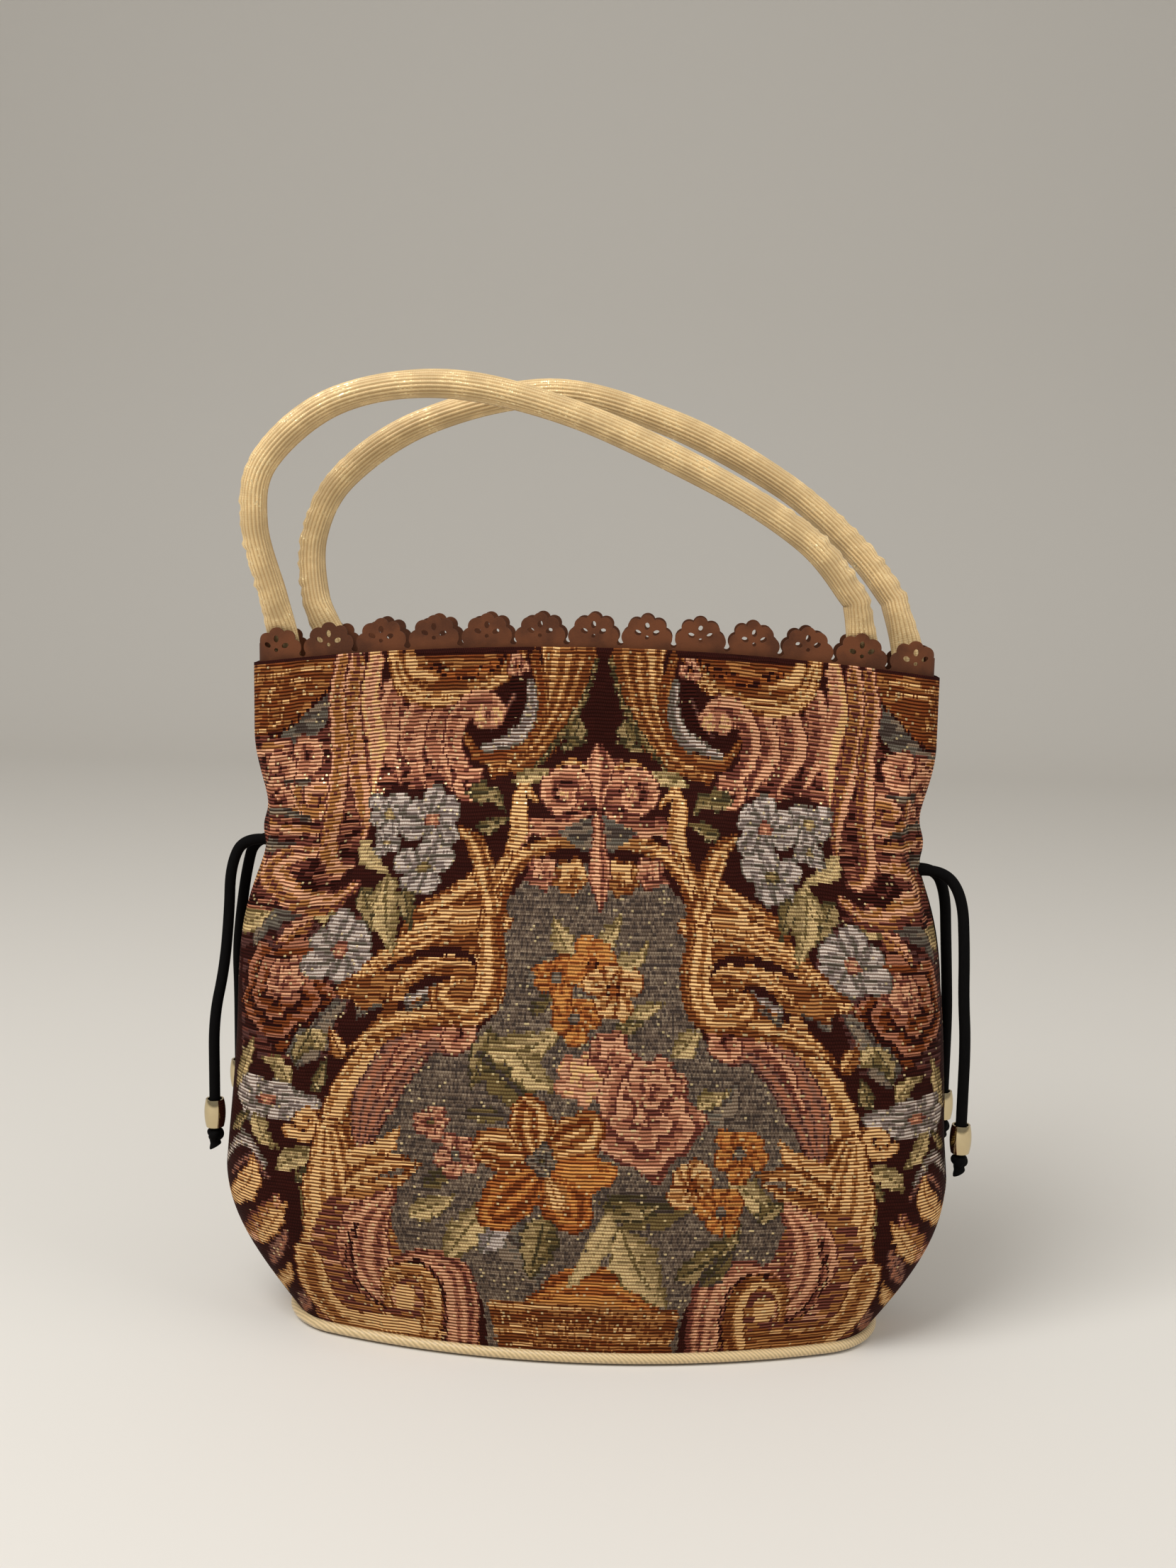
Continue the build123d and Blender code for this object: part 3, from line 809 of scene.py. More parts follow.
def weave_sides(loom):
    """Flowers, leaves and curls on the dark ground at both sides."""
    loom.patch([(60, 560), (190, 560), (300, 600), (330, 700), (280, 780), (230, 900), (60, 900)],
               "shadow", tone=0.35, scatter=0.5)
    loom.leaf((300, 560), (330, 650), 26, "olive")
    loom.leaf((200, 540), (84, 672), 62, "slate", bend=0.1)
    loom.leaf((60, 640), (120, 600), 30, "sage")
    loom.leaf((205, 622), (120, 678), 26, "copper", lines=1.0)
    loom.leaf((200, 605), (275, 618), 20, "sage")
    loom.leaf((90, 590), (130, 560), 20, "olive")
    loom.leaf((170, 915), (266, 788), 54, "slate", bend=-0.1)
    loom.rose((130, 768), 90, "dusk_rose", turns=3.0, squash=1.35)
    loom.rose((150, 740), 46, "pink", turns=1.6)
    loom.leaf((225, 880), (190, 845), 22, "sage")
    loom.leaf((195, 850), (165, 912), 24, "olive")
    loom.flower((256, 682), 76, 6, "lilac", "pink", turn=0.4)
    loom.leaf((352, 734), (290, 820), 34, "slate")
    loom.leaf((250, 770), (300, 740), 20, "gold", lines=1.0)
    loom.leaf((262, 900), (235, 840), 20, "gold", lines=1.0)
    loom.leaf((50, 955), (82, 862), 26, "sage")
    loom.leaf((155, 952), (100, 902), 20, "sage", bend=0.1)
    loom.leaf((200, 968), (228, 905), 17, "olive")
    loom.flower((108, 984), 68, 6, "lilac", "pink", turn=1.0, squash=0.68)
    loom.leaf((82, 1014), (132, 1082), 24, "sage", bend=0.1)
    loom.leaf((40, 1040), (75, 1010), 16, "olive")
    loom.curl((184, 1030), 34, 1.2, 200, "cream", 13)
    loom.band([(215, 1010), (228, 1050), (222, 1090)], [5, 9, 4], "gold")
    loom.leaf((130, 1122), (218, 1100), 28, "sage", bend=-0.15)
    loom.leaf((165, 1150), (195, 1122), 14, "olive")
    loom.band([(28, 1105), (62, 1062), (104, 1110)], [8, 15, 8], "lilac")
    loom.band([(40, 1130), (75, 1100), (112, 1140)], [6, 10, 5], "mauve")
    loom.leaf((40, 1185), (82, 1095), 34, "cream", bend=0.15, lines=1.0)
    loom.leaf((62, 1262), (132, 1170), 30, "copper", bend=0.1, lines=1.0)
    loom.leaf((95, 1268), (150, 1190), 22, "cream", lines=1.0)
    loom.leaf((118, 1312), (150, 1245), 18, "mauve")
    loom.band([(180, 1165), (192, 1230), (186, 1310)], [6, 12, 4], "sage", lines=0.6)
    loom.leaf((138, 1382), (158, 1312), 16, "cream")
    loom.leaf((180, 1410), (205, 1355), 18, "mauve")


def weave_field(loom):
    """Grey field inside the scrolled frame."""
    half = [
        (777, 505), (690, 515), (630, 540), (590, 585), (572, 660), (572, 760), (560, 820),
        (540, 850), (500, 870), (440, 880), (390, 930), (350, 1010), (330, 1060), (330, 1240),
        (385, 1300), (500, 1310), (545, 1400), (550, 1510), (777, 1520),
    ]
    loom.patch(half, "field", lines=0.35, tone=0.47, scatter=0.6, fine=True)


def weave_frame(loom):
    """Gold and pink scrolls that frame the field."""
    loom.band([(470, 822), (420, 850), (330, 900), (272, 980), (242, 1080), (228, 1190)],
              [14, 30, 42, 42, 40, 38], "gold", flutes=2)
    loom.band([(480, 884), (440, 862), (375, 908), (325, 985), (298, 1075)],
              [18, 30, 44, 46, 18], "mauve", flutes=4, lean=0.1)
    loom.band([(470, 850), (428, 856), (378, 902), (338, 972)], [10, 14, 16, 8], "pink", flutes=1)
    loom.curl((487, 858), 36, 1.1, 90, "pink", 15, hand=-1)
    loom.band([(236, 1050), (252, 1150), (262, 1230), (235, 1310), (205, 1370)],
              [34, 74, 82, 62, 30], "gold", flutes=5)
    loom.band([(290, 1105), (345, 1080), (374, 1042)], [22, 20, 4], "cream", flutes=1)
    loom.band([(285, 1140), (350, 1108), (414, 1112)], [22, 20, 4], "gold", flutes=2)
    loom.band([(290, 1180), (345, 1158), (405, 1126)], [22, 18, 4], "gold", flutes=1)
    flares = [
        (592, 530), (520, 530), (430, 585), (385, 615), (372, 690), (262, 756),
        (300, 806), (350, 780), (300, 880), (400, 850), (480, 840), (570, 800),
    ]
    loom.patch(flares, "gold", lines=1.0, tone=0.28, scatter=0.4)
    loom.band([(588, 545), (530, 552), (455, 598), (392, 612)], [16, 28, 24, 4], "gold", flutes=2)
    loom.band([(580, 632), (492, 628), (410, 668), (330, 715), (266, 754)],
              [22, 38, 32, 20, 4], "gold", flutes=4)
    loom.band([(566, 722), (490, 706), (420, 722), (352, 778)], [16, 28, 24, 4], "gold", flutes=3)
    loom.band([(500, 814), (410, 822), (335, 848), (270, 884)], [16, 24, 20, 3], "gold", flutes=2)
    loom.band([(350, 726), (420, 692), (500, 690), (548, 734)], [3, 9, 9, 3], "ground", lines=0.2)
    loom.band([(376, 800), (428, 752), (486, 748)], [8, 16, 4], "ground", lines=0.2)
    loom.band([(396, 780), (446, 758)], [10, 6], "lilac")
    loom.band([(430, 782), (392, 806)], [8, 6], "slate")
    loom.band([(765, 474), (690, 468), (618, 502), (574, 562), (558, 640), (562, 715), (552, 782),
               (516, 812), (470, 800), (456, 768), (490, 748)],
              [10, 16, 20, 24, 26, 30, 32, 28, 24, 18, 8], "gold", flutes=2)
    loom.band([(590, 560), (576, 640), (582, 720), (570, 790)], [6, 8, 8, 4], "deep_gold", flutes=1)


def weave_volutes(loom):
    """Large shells at the bottom of the frame."""
    loom.patch([(230, 1180), (350, 1180), (385, 1296), (520, 1330), (534, 1510), (190, 1490), (190, 1300)],
               "copper", lines=1.0, tone=0.3, scatter=0.4)
    loom.band([(192, 1300), (222, 1385), (290, 1440), (390, 1462), (492, 1482)],
              [30, 42, 46, 44, 36], "gold", flutes=1, lean=0.05)
    loom.band([(356, 1176), (312, 1232), (302, 1292), (324, 1352), (372, 1392)],
              [14, 46, 56, 46, 16], "pink", flutes=3, lean=0.15)
    loom.band([(290, 1238), (274, 1300), (300, 1368), (348, 1404)], [5, 9, 10, 5], "shell")
    loom.band([(366, 1318), (432, 1306), (480, 1332), (498, 1395), (502, 1490)],
              [14, 26, 38, 40, 36], "pink", flutes=3)
    loom.band([(352, 1398), (356, 1346), (398, 1326), (434, 1352), (444, 1410), (430, 1480)],
              [9, 16, 18, 22, 22, 18], "gold", flutes=1)
    loom.band([(372, 1318), (420, 1316), (456, 1348), (470, 1410), (462, 1490)], [3, 4, 4, 4, 4], "shell")
    loom.patch([(364, 1376), (376, 1354), (398, 1354), (410, 1376), (402, 1404), (376, 1410)],
               "cream", lines=1.0)


def weave_crest(loom):
    """Horns, leaves and shells under the mouth."""
    loom.patch([(60, 112), (262, 98), (240, 152), (195, 198), (160, 234), (120, 264), (60, 264)],
               "deep_gold", lines=1.0, tone=0.45, scatter=0.7)
    loom.band([(112, 222), (114, 165), (160, 142), (222, 136)], [6, 7, 7, 4], "gold")
    loom.band([(140, 222), (146, 186), (188, 166)], [6, 6, 4], "gold")
    loom.band([(92, 142), (180, 122), (248, 114)], [5, 6, 4], "cream")
    loom.band([(92, 245), (120, 236), (150, 216)], [5, 7, 4], "gold")
    shells = [
        (70, 258), (160, 240), (215, 246), (262, 200), (340, 250), (330, 380),
        (300, 480), (262, 540), (205, 600), (70, 600), (70, 420),
    ]
    loom.patch(shells, "shell", lines=1.0, tone=0.4, scatter=0.5)
    loom.patch([(330, 150), (500, 180), (500, 350), (430, 372), (380, 350), (330, 370)],
               "shell", lines=1.0, tone=0.5, scatter=0.5)
    wing = [
        (264, 104), (240, 165), (250, 198), (215, 248), (165, 264),
        (104, 268), (152, 240), (198, 198), (242, 150),
    ]
    loom.patch(wing, "slate", tone=0.45, scatter=0.6)
    loom.band([(104, 268), (150, 242), (198, 198), (244, 148), (262, 106)], [3, 4, 4, 4, 3], "brick")
    loom.curl((184, 286), 42, 1.2, 160, "pink", 20)
    loom.curl((130, 316), 38, 1.2, 160, "pink", 18)
    loom.band([(92, 290), (112, 276), (150, 266)], [10, 14, 8], "copper")
    loom.band([(108, 348), (160, 352), (222, 344)], [8, 12, 6], "slate")
    loom.curl((206, 378), 44, 1.3, 160, "copper", 19)
    loom.curl((138, 382), 36, 1.2, 100, "pink", 16)
    loom.band([(112, 402), (150, 412), (196, 424)], [6, 10, 5], "slate")
    loom.band([(116, 430), (160, 446), (226, 444)], [9, 15, 8], "copper")
    loom.band([(112, 470), (145, 482), (180, 476)], [12, 18, 6], "slate")
    loom.band([(290, 552), (232, 588), (165, 575), (122, 535), (150, 498), (232, 480)],
              [10, 24, 32, 32, 26, 10], "copper", flutes=2)
    loom.band([(252, 548), (205, 556), (178, 532), (212, 515)], [4, 9, 10, 5], "ground")
    for top, middle, tip, width in LEAF_FAN:
        loom.band([top, middle, tip], [width * 0.8, width, 5], "pink", flutes=1)
    loom.band([(328, 102), (316, 180), (332, 270), (322, 362)], [20, 24, 24, 5], "blush", flutes=1)
    loom.band([(292, 102), (277, 180), (287, 290), (307, 400), (298, 474)],
              [20, 24, 25, 20, 4], "copper", flutes=1)
    loom.band([(260, 102), (250, 180), (258, 280), (250, 380), (234, 470), (250, 516), (278, 520)],
              [16, 20, 22, 22, 20, 16, 7], "copper", flutes=1)
    loom.patch([(350, 96), (620, 90), (600, 130), (520, 168), (440, 176), (375, 158)],
               "deep_gold", lines=1.0, tone=0.5, scatter=0.5)
    loom.band([(366, 96), (386, 148), (442, 178), (520, 168), (588, 132), (624, 96)],
              [18, 26, 24, 20, 16, 8], "gold", flutes=3)
    loom.band([(396, 100), (412, 128), (450, 138)], [14, 16, 6], "cream")
    loom.band([(436, 112), (500, 128), (560, 112), (600, 95)], [6, 10, 9, 5], "brick")
    loom.band([(716, 92), (706, 160), (682, 226), (636, 286), (566, 326)],
              [62, 48, 44, 36, 14], "gold", flutes=4, lean=0.25, tone=0.4)
    loom.band([(774, 104), (748, 180), (706, 252), (652, 316)], [6, 8, 9, 4], "olive")
    loom.band([(650, 92), (662, 180), (640, 252), (590, 294), (534, 294), (506, 250)],
              [12, 15, 15, 15, 13, 6], "deep_gold", flutes=1)
    loom.band([(614, 146), (604, 190), (576, 236)], [14, 20, 10], "ground")
    loom.band([(642, 142), (640, 205), (610, 256), (544, 276)], [8, 16, 19, 7], "lilac", flutes=1)
    loom.band([(606, 172), (590, 205), (560, 240)], [4, 7, 4], "mauve")
    loom.band([(578, 206), (552, 186), (515, 194), (490, 230), (486, 280), (506, 326), (540, 346)],
              [17, 28, 26, 24, 22, 18, 9], "pink", flutes=1)
    loom.flower((554, 212), 32, 2, "blush", "pink")
    loom.curl((518, 358), 30, 1.2, 60, "pink", 13)
    loom.flower((612, 112), 24, 3, "pink", "brick")
    loom.leaf((722, 270), (732, 214), 26, "olive", bend=0.1)
    loom.leaf((700, 280), (756, 262), 14, "olive")
    loom.leaf((606, 344), (690, 326), 18, "sage")


def weave_palmette(loom):
    """Pink palmette over the middle of the field, with its valance."""
    crown = [
        (777, 296), (736, 296), (742, 326), (704, 326),
        (664, 350), (660, 396), (690, 416), (777, 414),
    ]
    loom.patch(crown, "shell", lines=1.0, tone=0.5, scatter=0.4)
    loom.band([(774, 274), (777, 320), (777, 396)], [8, 40, 10], "pink", flutes=2, **SINGLE)
    loom.band([(692, 316), (720, 306), (750, 314)], [4, 7, 5], "cream")
    loom.curl((706, 371), 50, 1.2, 30, "pink", 15)
    loom.flower((706, 372), 14, 2, "blush", "blush")
    loom.band([(622, 474), (640, 438), (676, 440), (720, 430), (758, 408)],
              [8, 17, 18, 15, 8], "pink", flutes=1)
    loom.patch([(777, 412), (722, 430), (694, 446), (738, 480), (777, 484)], "slate", tone=0.5, scatter=0.5)
    loom.rose((664, 530), 38, "pink", turns=1.0)
    loom.rose((720, 538), 42, "gold", turns=1.0)
    loom.band([(775, 420), (777, 470), (778, 535), (781, 606)], [11, 16, 28, 5], "pink", flutes=2, **SINGLE)
    loom.band([(652, 386), (630, 360), (616, 394), (614, 444), (592, 500)],
              [5, 11, 20, 22, 12], "cream", flutes=1)
    loom.band([(500, 446), (530, 470), (546, 525), (562, 600)], [10, 20, 24, 20], "gold", flutes=2)
    loom.band([(560, 560), (578, 525), (596, 492)], [12, 15, 12], "gold", flutes=1)
    loom.leaf((510, 368), (588, 408), 22, "olive", bend=-0.2)
    loom.leaf((535, 440), (592, 424), 18, "olive")
    loom.leaf((300, 465), (352, 525), 22, "straw", bend=0.1)
    loom.flower((356, 412), 48, 5, "lilac", "sage", turn=0.2)
    loom.flower((440, 420), 66, 6, "lilac", "pink", turn=0.6)
    loom.flower((422, 516), 60, 5, "lilac", "olive", turn=0.9)
    loom.flower((352, 470), 30, 4, "lilac", "sage", turn=0.5)
    loom.leaf((352, 532), (362, 694), 36, "sage", bend=0.06)
    loom.leaf((385, 560), (400, 640), 20, "olive")
    loom.leaf((318, 600), (350, 540), 18, "sage")


def weave_bouquet(loom):
    """Flowers and leaves that stand in the basket."""
    loom.leaf((560, 850), (520, 960), 30, "olive", **SINGLE)
    loom.leaf((535, 900), (650, 1044), 48, "moss", bend=-0.1, **SINGLE)
    loom.leaf((505, 1010), (600, 1020), 22, "moss", **SINGLE)
    loom.leaf((548, 884), (705, 842), 38, "sage", bend=0.12, **SINGLE)
    loom.leaf((610, 890), (692, 966), 38, "sage", bend=0.1, **SINGLE)
    loom.leaf((716, 700), (686, 620), 25, "sage", **SINGLE)
    loom.leaf((780, 690), (822, 616), 22, "sage", **SINGLE)
    loom.leaf((802, 728), (876, 668), 22, "sage", bend=0.1, **SINGLE)
    loom.leaf((628, 760), (690, 686), 24, "slate", **SINGLE)
    loom.leaf((640, 815), (690, 760), 20, "moss", **SINGLE)
    loom.leaf((838, 822), (910, 792), 18, "sage", **SINGLE)
    loom.leaf((800, 862), (872, 826), 18, "olive", **SINGLE)
    loom.flower((690, 738), 50, 5, "orange", "slate", **SINGLE)
    loom.flower((762, 708), 54, 5, "amber", "brick", turn=0.5, **SINGLE)
    loom.flower((728, 822), 54, 5, "orange", "slate", turn=0.2, **SINGLE)
    loom.flower((806, 768), 62, 5, "lily", "brick", turn=0.9, **SINGLE)
    loom.leaf((928, 896), (984, 846), 26, "sage", **SINGLE)
    loom.leaf((965, 1022), (1060, 952), 42, "slate", bend=0.1, **SINGLE)
    loom.leaf((975, 1000), (1040, 968), 20, "sage", **SINGLE)
    loom.leaf((780, 1195), (982, 1190), 46, "moss", bend=0.08, **SINGLE)
    loom.leaf((800, 1220), (900, 1200), 22, "olive", **SINGLE)
    loom.rose((742, 944), 62, "blush", turns=1.3, **SINGLE)
    loom.rose((800, 896), 54, "pink", turns=1.3, **SINGLE)
    loom.rose((872, 1022), 126, "pink", turns=2.8, squash=1.08, **SINGLE)
    loom.rose((884, 956), 66, "pink", turns=1.9, **SINGLE)
    loom.leaf((515, 1222), (655, 1370), 60, "slate", bend=-0.15, **SINGLE)
    loom.leaf((540, 1290), (590, 1216), 34, "lilac", **SINGLE)
    loom.leaf((470, 1300), (562, 1176), 36, "sage", **SINGLE)
    loom.leaf((395, 1222), (485, 1180), 28, "sage", **SINGLE)
    loom.leaf((668, 1225), (636, 1345), 40, "olive", **SINGLE)
    loom.leaf((824, 1252), (910, 1404), 52, "sage", bend=0.06, **SINGLE)
    loom.leaf((800, 1216), (704, 1374), 27, "straw", bend=-0.08, **SINGLE)
    loom.leaf((935, 1345), (1064, 1236), 36, "olive", bend=0.1, **SINGLE)
    loom.leaf((985, 1362), (1050, 1286), 26, "moss", **SINGLE)
    loom.leaf((1045, 1140), (1146, 1212), 32, "sage", bend=0.1, **SINGLE)
    loom.leaf((1100, 1230), (1150, 1190), 20, "olive", **SINGLE)
    loom.flower((440, 1030), 38, 5, "pink", "moss", **SINGLE)
    loom.leaf((420, 1160), (492, 1120), 24, "moss", **SINGLE)
    loom.flower((488, 1096), 48, 5, "pink", "slate", turn=0.5, **SINGLE)
    loom.flower((962, 1162), 54, 4, "lily", "brick", turn=0.7, **SINGLE)
    loom.flower((1060, 1096), 58, 5, "orange", "slate", turn=0.3, **SINGLE)
    loom.flower((1022, 1212), 52, 5, "orange", "slate", turn=0.8, **SINGLE)
    petal = {"lean": 0.15, "flutes": 3, "tone": 0.48, **SINGLE}
    loom.band([(684, 1138), (706, 1182), (722, 1212)], [20, 48, 54, 42], "orange", **petal)
    loom.band([(650, 1128), (604, 1174), (572, 1208)], [20, 48, 52, 40], "orange", **petal)
    loom.band([(648, 1104), (596, 1088), (556, 1078)], [18, 40, 46, 36], "lily", **petal)
    loom.band([(656, 1100), (642, 1048), (636, 1016)], [18, 42, 46, 36], "lily", **petal)
    loom.band([(680, 1096), (724, 1068), (752, 1050)], [20, 44, 50, 38], "lily", **petal)
    loom.band([(690, 1122), (744, 1136), (782, 1134)], [16, 34, 40, 28], "amber", **petal)
    loom.band([(674, 1148), (690, 1178), (698, 1198)], [8, 18, 22, 16], "cream", **petal)
    loom.flower((660, 1112), 32, 4, "slate", "moss", **SINGLE)


def weave_basket(loom):
    """Low plaited basket at the foot of the field."""
    loom.band([(640, 1396), (720, 1366), (810, 1370), (880, 1410)],
              [16, 48, 50, 18], "orange", flutes=3, **SINGLE)
    loom.patch([(552, 1386), (700, 1394), (936, 1414), (930, 1470), (898, 1540), (592, 1512), (566, 1440)],
               "gold", lines=1.0, tone=0.36, scatter=0.4, **SINGLE)
    for row, ramp in enumerate(BASKET_ROWS):
        down = BASKET_RIM + BASKET_STEP * row
        inset = BASKET_TAPER * row
        points = [(558 + inset, down), (720, down + 9), (930 - inset, down + 27)]
        loom.band(points, [7, 8, 7], ramp, lean=0, tone=0.5, **SINGLE)


def weave_tapestry(places, yarns):
    """Colours and line strengths of a panel's cells."""
    loom = Loom(places, yarns)
    weave_sides(loom)
    weave_field(loom)
    weave_frame(loom)
    weave_volutes(loom)
    weave_crest(loom)
    weave_palmette(loom)
    weave_basket(loom)
    weave_bouquet(loom)
    loom.fill_hidden()
    return loom.colour, loom.lines


def paint_cells(mesh, colours, lines):
    """Keeps the woven colours on a panel's mesh, one for each cell."""
    colours = np.concatenate([colours, np.repeat(colours[-1:], HEM_ROWS, axis=0)])
    lines = np.concatenate([lines, np.repeat(lines[-1:], HEM_ROWS, axis=0)])
    opaque = np.concatenate([colours, np.ones(colours.shape[:2] + (1,))], axis=-1)
    yarn = mesh.color_attributes.new("yarn", "FLOAT_COLOR", "CORNER")
    yarn.data.foreach_set("color", np.repeat(opaque.reshape(-1, 4), 4, axis=0).ravel())
    # Strength of the painted highlight and shade of the weft lines, cell by cell
    strength = np.repeat(lines.reshape(-1, 1), 4, axis=0)
    pick = mesh.attributes.new("pick_lines", "FLOAT", "CORNER")
    pick.data.foreach_set("value", strength.ravel())


# Materials


def new_material(name):
    """Material with its node tree and its main shader."""
    material = bpy.data.materials.new(name)
    material.use_nodes = True
    tree = material.node_tree
    return material, tree, tree.nodes["Principled BSDF"]


def node(tree, kind, *feeds, **settings):
    """Shader node with its inputs set or linked in order. Returns its first output."""
    made = tree.nodes.new("ShaderNode" + kind)
    for key, value in settings.items():
        setattr(made, key, value)
    for socket, feed in zip(made.inputs, feeds):
        if isinstance(feed, bpy.types.NodeSocket):
            tree.links.new(feed, socket)
        elif feed is not None:
            socket.default_value = feed
    return made.outputs[0]


def sums(tree, operation, *feeds):
    """Math node."""
    return node(tree, "Math", *feeds, operation=operation)


def times(tree, first, second):
    """Product of two feeds."""
    return sums(tree, "MULTIPLY", first, second)


def plus(tree, first, second):
    """Sum of two feeds."""
    return sums(tree, "ADD", first, second)


def tint(base, level):
    """Colour made darker or lighter, as a plain tuple."""
    return tuple(min(value * level, 1) for value in base)


def mix_colours(tree, factor, first, second, blend="MIX"):
    """Colour mix of two feeds."""
    made = tree.nodes.new("ShaderNodeMix")
    made.data_type = "RGBA"
    made.blend_type = blend
    for socket, feed in zip((made.inputs[0], made.inputs[6], made.inputs[7]), (factor, first, second)):
        if isinstance(feed, bpy.types.NodeSocket):
            tree.links.new(feed, socket)
        else:
            socket.default_value = (*feed, 1) if isinstance(feed, tuple) else feed
    return made.outputs[2]


def ramp_between(tree, value, low, high):
    """Smooth step of a value between two limits."""
    return node(tree, "MapRange", value, low, high, interpolation_type="SMOOTHSTEP")


def spread(tree, part, low, high):
    """Value that goes from low to high as a share goes from 0 to 1."""
    return node(tree, "MapRange", part, 0.0, 1.0, low, high)


def noise(tree, place, scale, detail=2.0):
    """Noise at a place, as a value."""
    made = node(tree, "TexNoise", place)
    made.node.inputs["Scale"].default_value = scale
    made.node.inputs["Detail"].default_value = detail
    return made


def bump(tree, surface, height, distance, strength):
    """Bump on a shader, where a height of 1 stands for the distance in metres."""
    made = tree.nodes.new("ShaderNodeBump")
    made.inputs["Strength"].default_value = strength
    made.inputs["Distance"].default_value = distance
    tree.links.new(height, made.inputs["Height"])
    tree.links.new(made.outputs["Normal"], surface.inputs["Normal"])


def thread_counts(tree):
    """Threads across and picks up, from the map."""
    made = node(tree, "SeparateXYZ", node(tree, "UVMap", uv_map="threads"))
    return made.node.outputs[0], made.node.outputs[1]


def thread_chance(tree, across, up):
    """Chance value that holds over each whole step across and up."""
    cell = node(tree, "CombineXYZ", sums(tree, "FLOOR", across), sums(tree, "FLOOR", up))
    return node(tree, "TexWhiteNoise", cell, noise_dimensions="2D")


def object_place(tree):
    """Place on the piece."""
    return node(tree, "TexCoord").node.outputs["Object"]


def tapestry_material():
    """Jacquard cloth: weft lines with a painted highlight on each raised pick over painted shade in the
    gaps, warp ticks of painted shade, and glints of metal thread.
    """
    # Painted shade in the gaps between picks, and painted highlight on the raised picks
    gap_shade_tint = (0.22, 0.13, 0.09)
    lit_tint = (1.34, 1.28, 1.22)
    glint_colour = (0.8, 0.62, 0.32)
    material, tree, surface = new_material("woven_tapestry")
    yarn = node(tree, "Attribute", attribute_name="yarn")
    lines = node(tree, "Attribute", attribute_name="pick_lines").node.outputs["Fac"]
    across, up = thread_counts(tree)
    slow = node(tree, "CombineXYZ", times(tree, across, 0.06), times(tree, up, 0.02))
    pick = plus(tree, up, times(tree, noise(tree, slow, 1.0), 1.2))
    raised = ramp_between(tree, sums(tree, "PINGPONG", pick, 0.5), 0.12, 0.34)
    # Warp ticks: painted shade between the floats of each pick
    odd_pick = times(tree, sums(tree, "FLOOR", pick), 0.5)
    tick = sums(tree, "PINGPONG", plus(tree, times(tree, across, 0.75), odd_pick), 0.5)
    ticked = ramp_between(tree, tick, 0.03, 0.16)
    uneven = spread(tree, thread_chance(tree, times(tree, across, 0.17), pick), 0.86, 1.14)
    gap_shade = mix_colours(tree, 1.0, yarn, gap_shade_tint, "MULTIPLY")
    lit = mix_colours(tree, 1.0, yarn, lit_tint, "MULTIPLY")
    striped = mix_colours(tree, raised, gap_shade, lit)
    plain = mix_colours(tree, ticked, gap_shade, yarn)
    cloth = mix_colours(tree, lines, plain, striped)
    cloth = mix_colours(tree, 1.0, cloth, node(tree, "CombineXYZ", uneven, uneven, uneven), "MULTIPLY")
    chance = thread_chance(tree, times(tree, across, 0.8), pick)
    glint = times(tree, sums(tree, "GREATER_THAN", chance, 0.97), raised)
    glint = times(tree, glint, ramp_between(tree, lines, 0.26, 0.34))
    metallic = times(tree, glint, 0.7)
    cloth = mix_colours(tree, metallic, cloth, glint_colour)
    tree.links.new(cloth, surface.inputs["Base Color"])
    tree.links.new(spread(tree, glint, 0.78, 0.3), surface.inputs["Roughness"])
    tree.links.new(metallic, surface.inputs["Metallic"])
    surface.inputs["Specular IOR Level"].default_value = 0.05
    height = plus(tree, raised, times(tree, ticked, 0.35))
    bump(tree, surface, height, 0.16 * MM, 0.8)
    return material


def gold_cloth_material(cloth, thread):
    """Pale gold ribbed cloth with bright metal threads, painted shade in the rib grooves, and uneven tone
    that is darker, as painted shade, in the hollows of its soft puckers.
    """
    groove_shade_tint = (0.5, 0.4, 0.28)
    material, tree, surface = new_material("ribbed_gold_cloth")
    across, up = thread_counts(tree)
    picks = times(tree, up, 1.6)
    chance = thread_chance(tree, across, picks)
    cloudy = noise(tree, object_place(tree), 130.0, 3.0)
    # Uneven tone, darkest where the same noise sinks the puckers of the bump: partly uneven tone, partly
    # painted shade in their hollows
    base = mix_colours(tree, ramp_between(tree, cloudy, 0.35, 0.7), tint(cloth, 0.74), tuple(cloth))
    # Painted shade in the grooves between the ribs
    rib = sums(tree, "COSINE", times(tree, across, 2 * math.pi * HANDLE_RIBS / HANDLE_SEGMENTS))
    groove_shade = times(tree, ramp_between(tree, rib, 0.1, -0.9), 0.65)
    groove_shade_colour = tuple(value * dark for value, dark in zip(cloth, groove_shade_tint))
    base = mix_colours(tree, groove_shade, base, groove_shade_colour)
    bright = sums(tree, "GREATER_THAN", chance, 0.86)
    glint = times(tree, bright, ramp_between(tree, cloudy, 0.4, 0.75))
    base = mix_colours(tree, glint, base, tuple(thread))
    tree.links.new(base, surface.inputs["Base Color"])
    tree.links.new(spread(tree, glint, 0.5, 0.25), surface.inputs["Roughness"])
    tree.links.new(spread(tree, glint, 0.12, 0.75), surface.inputs["Metallic"])
    surface.inputs["Sheen Weight"].default_value = 0.2
    height = plus(tree, sums(tree, "PINGPONG", picks, 0.5), times(tree, chance, 0.3))
    height = plus(tree, height, times(tree, cloudy, 9.0))
    bump(tree, surface, height, 0.10 * MM, 0.6)
    return material


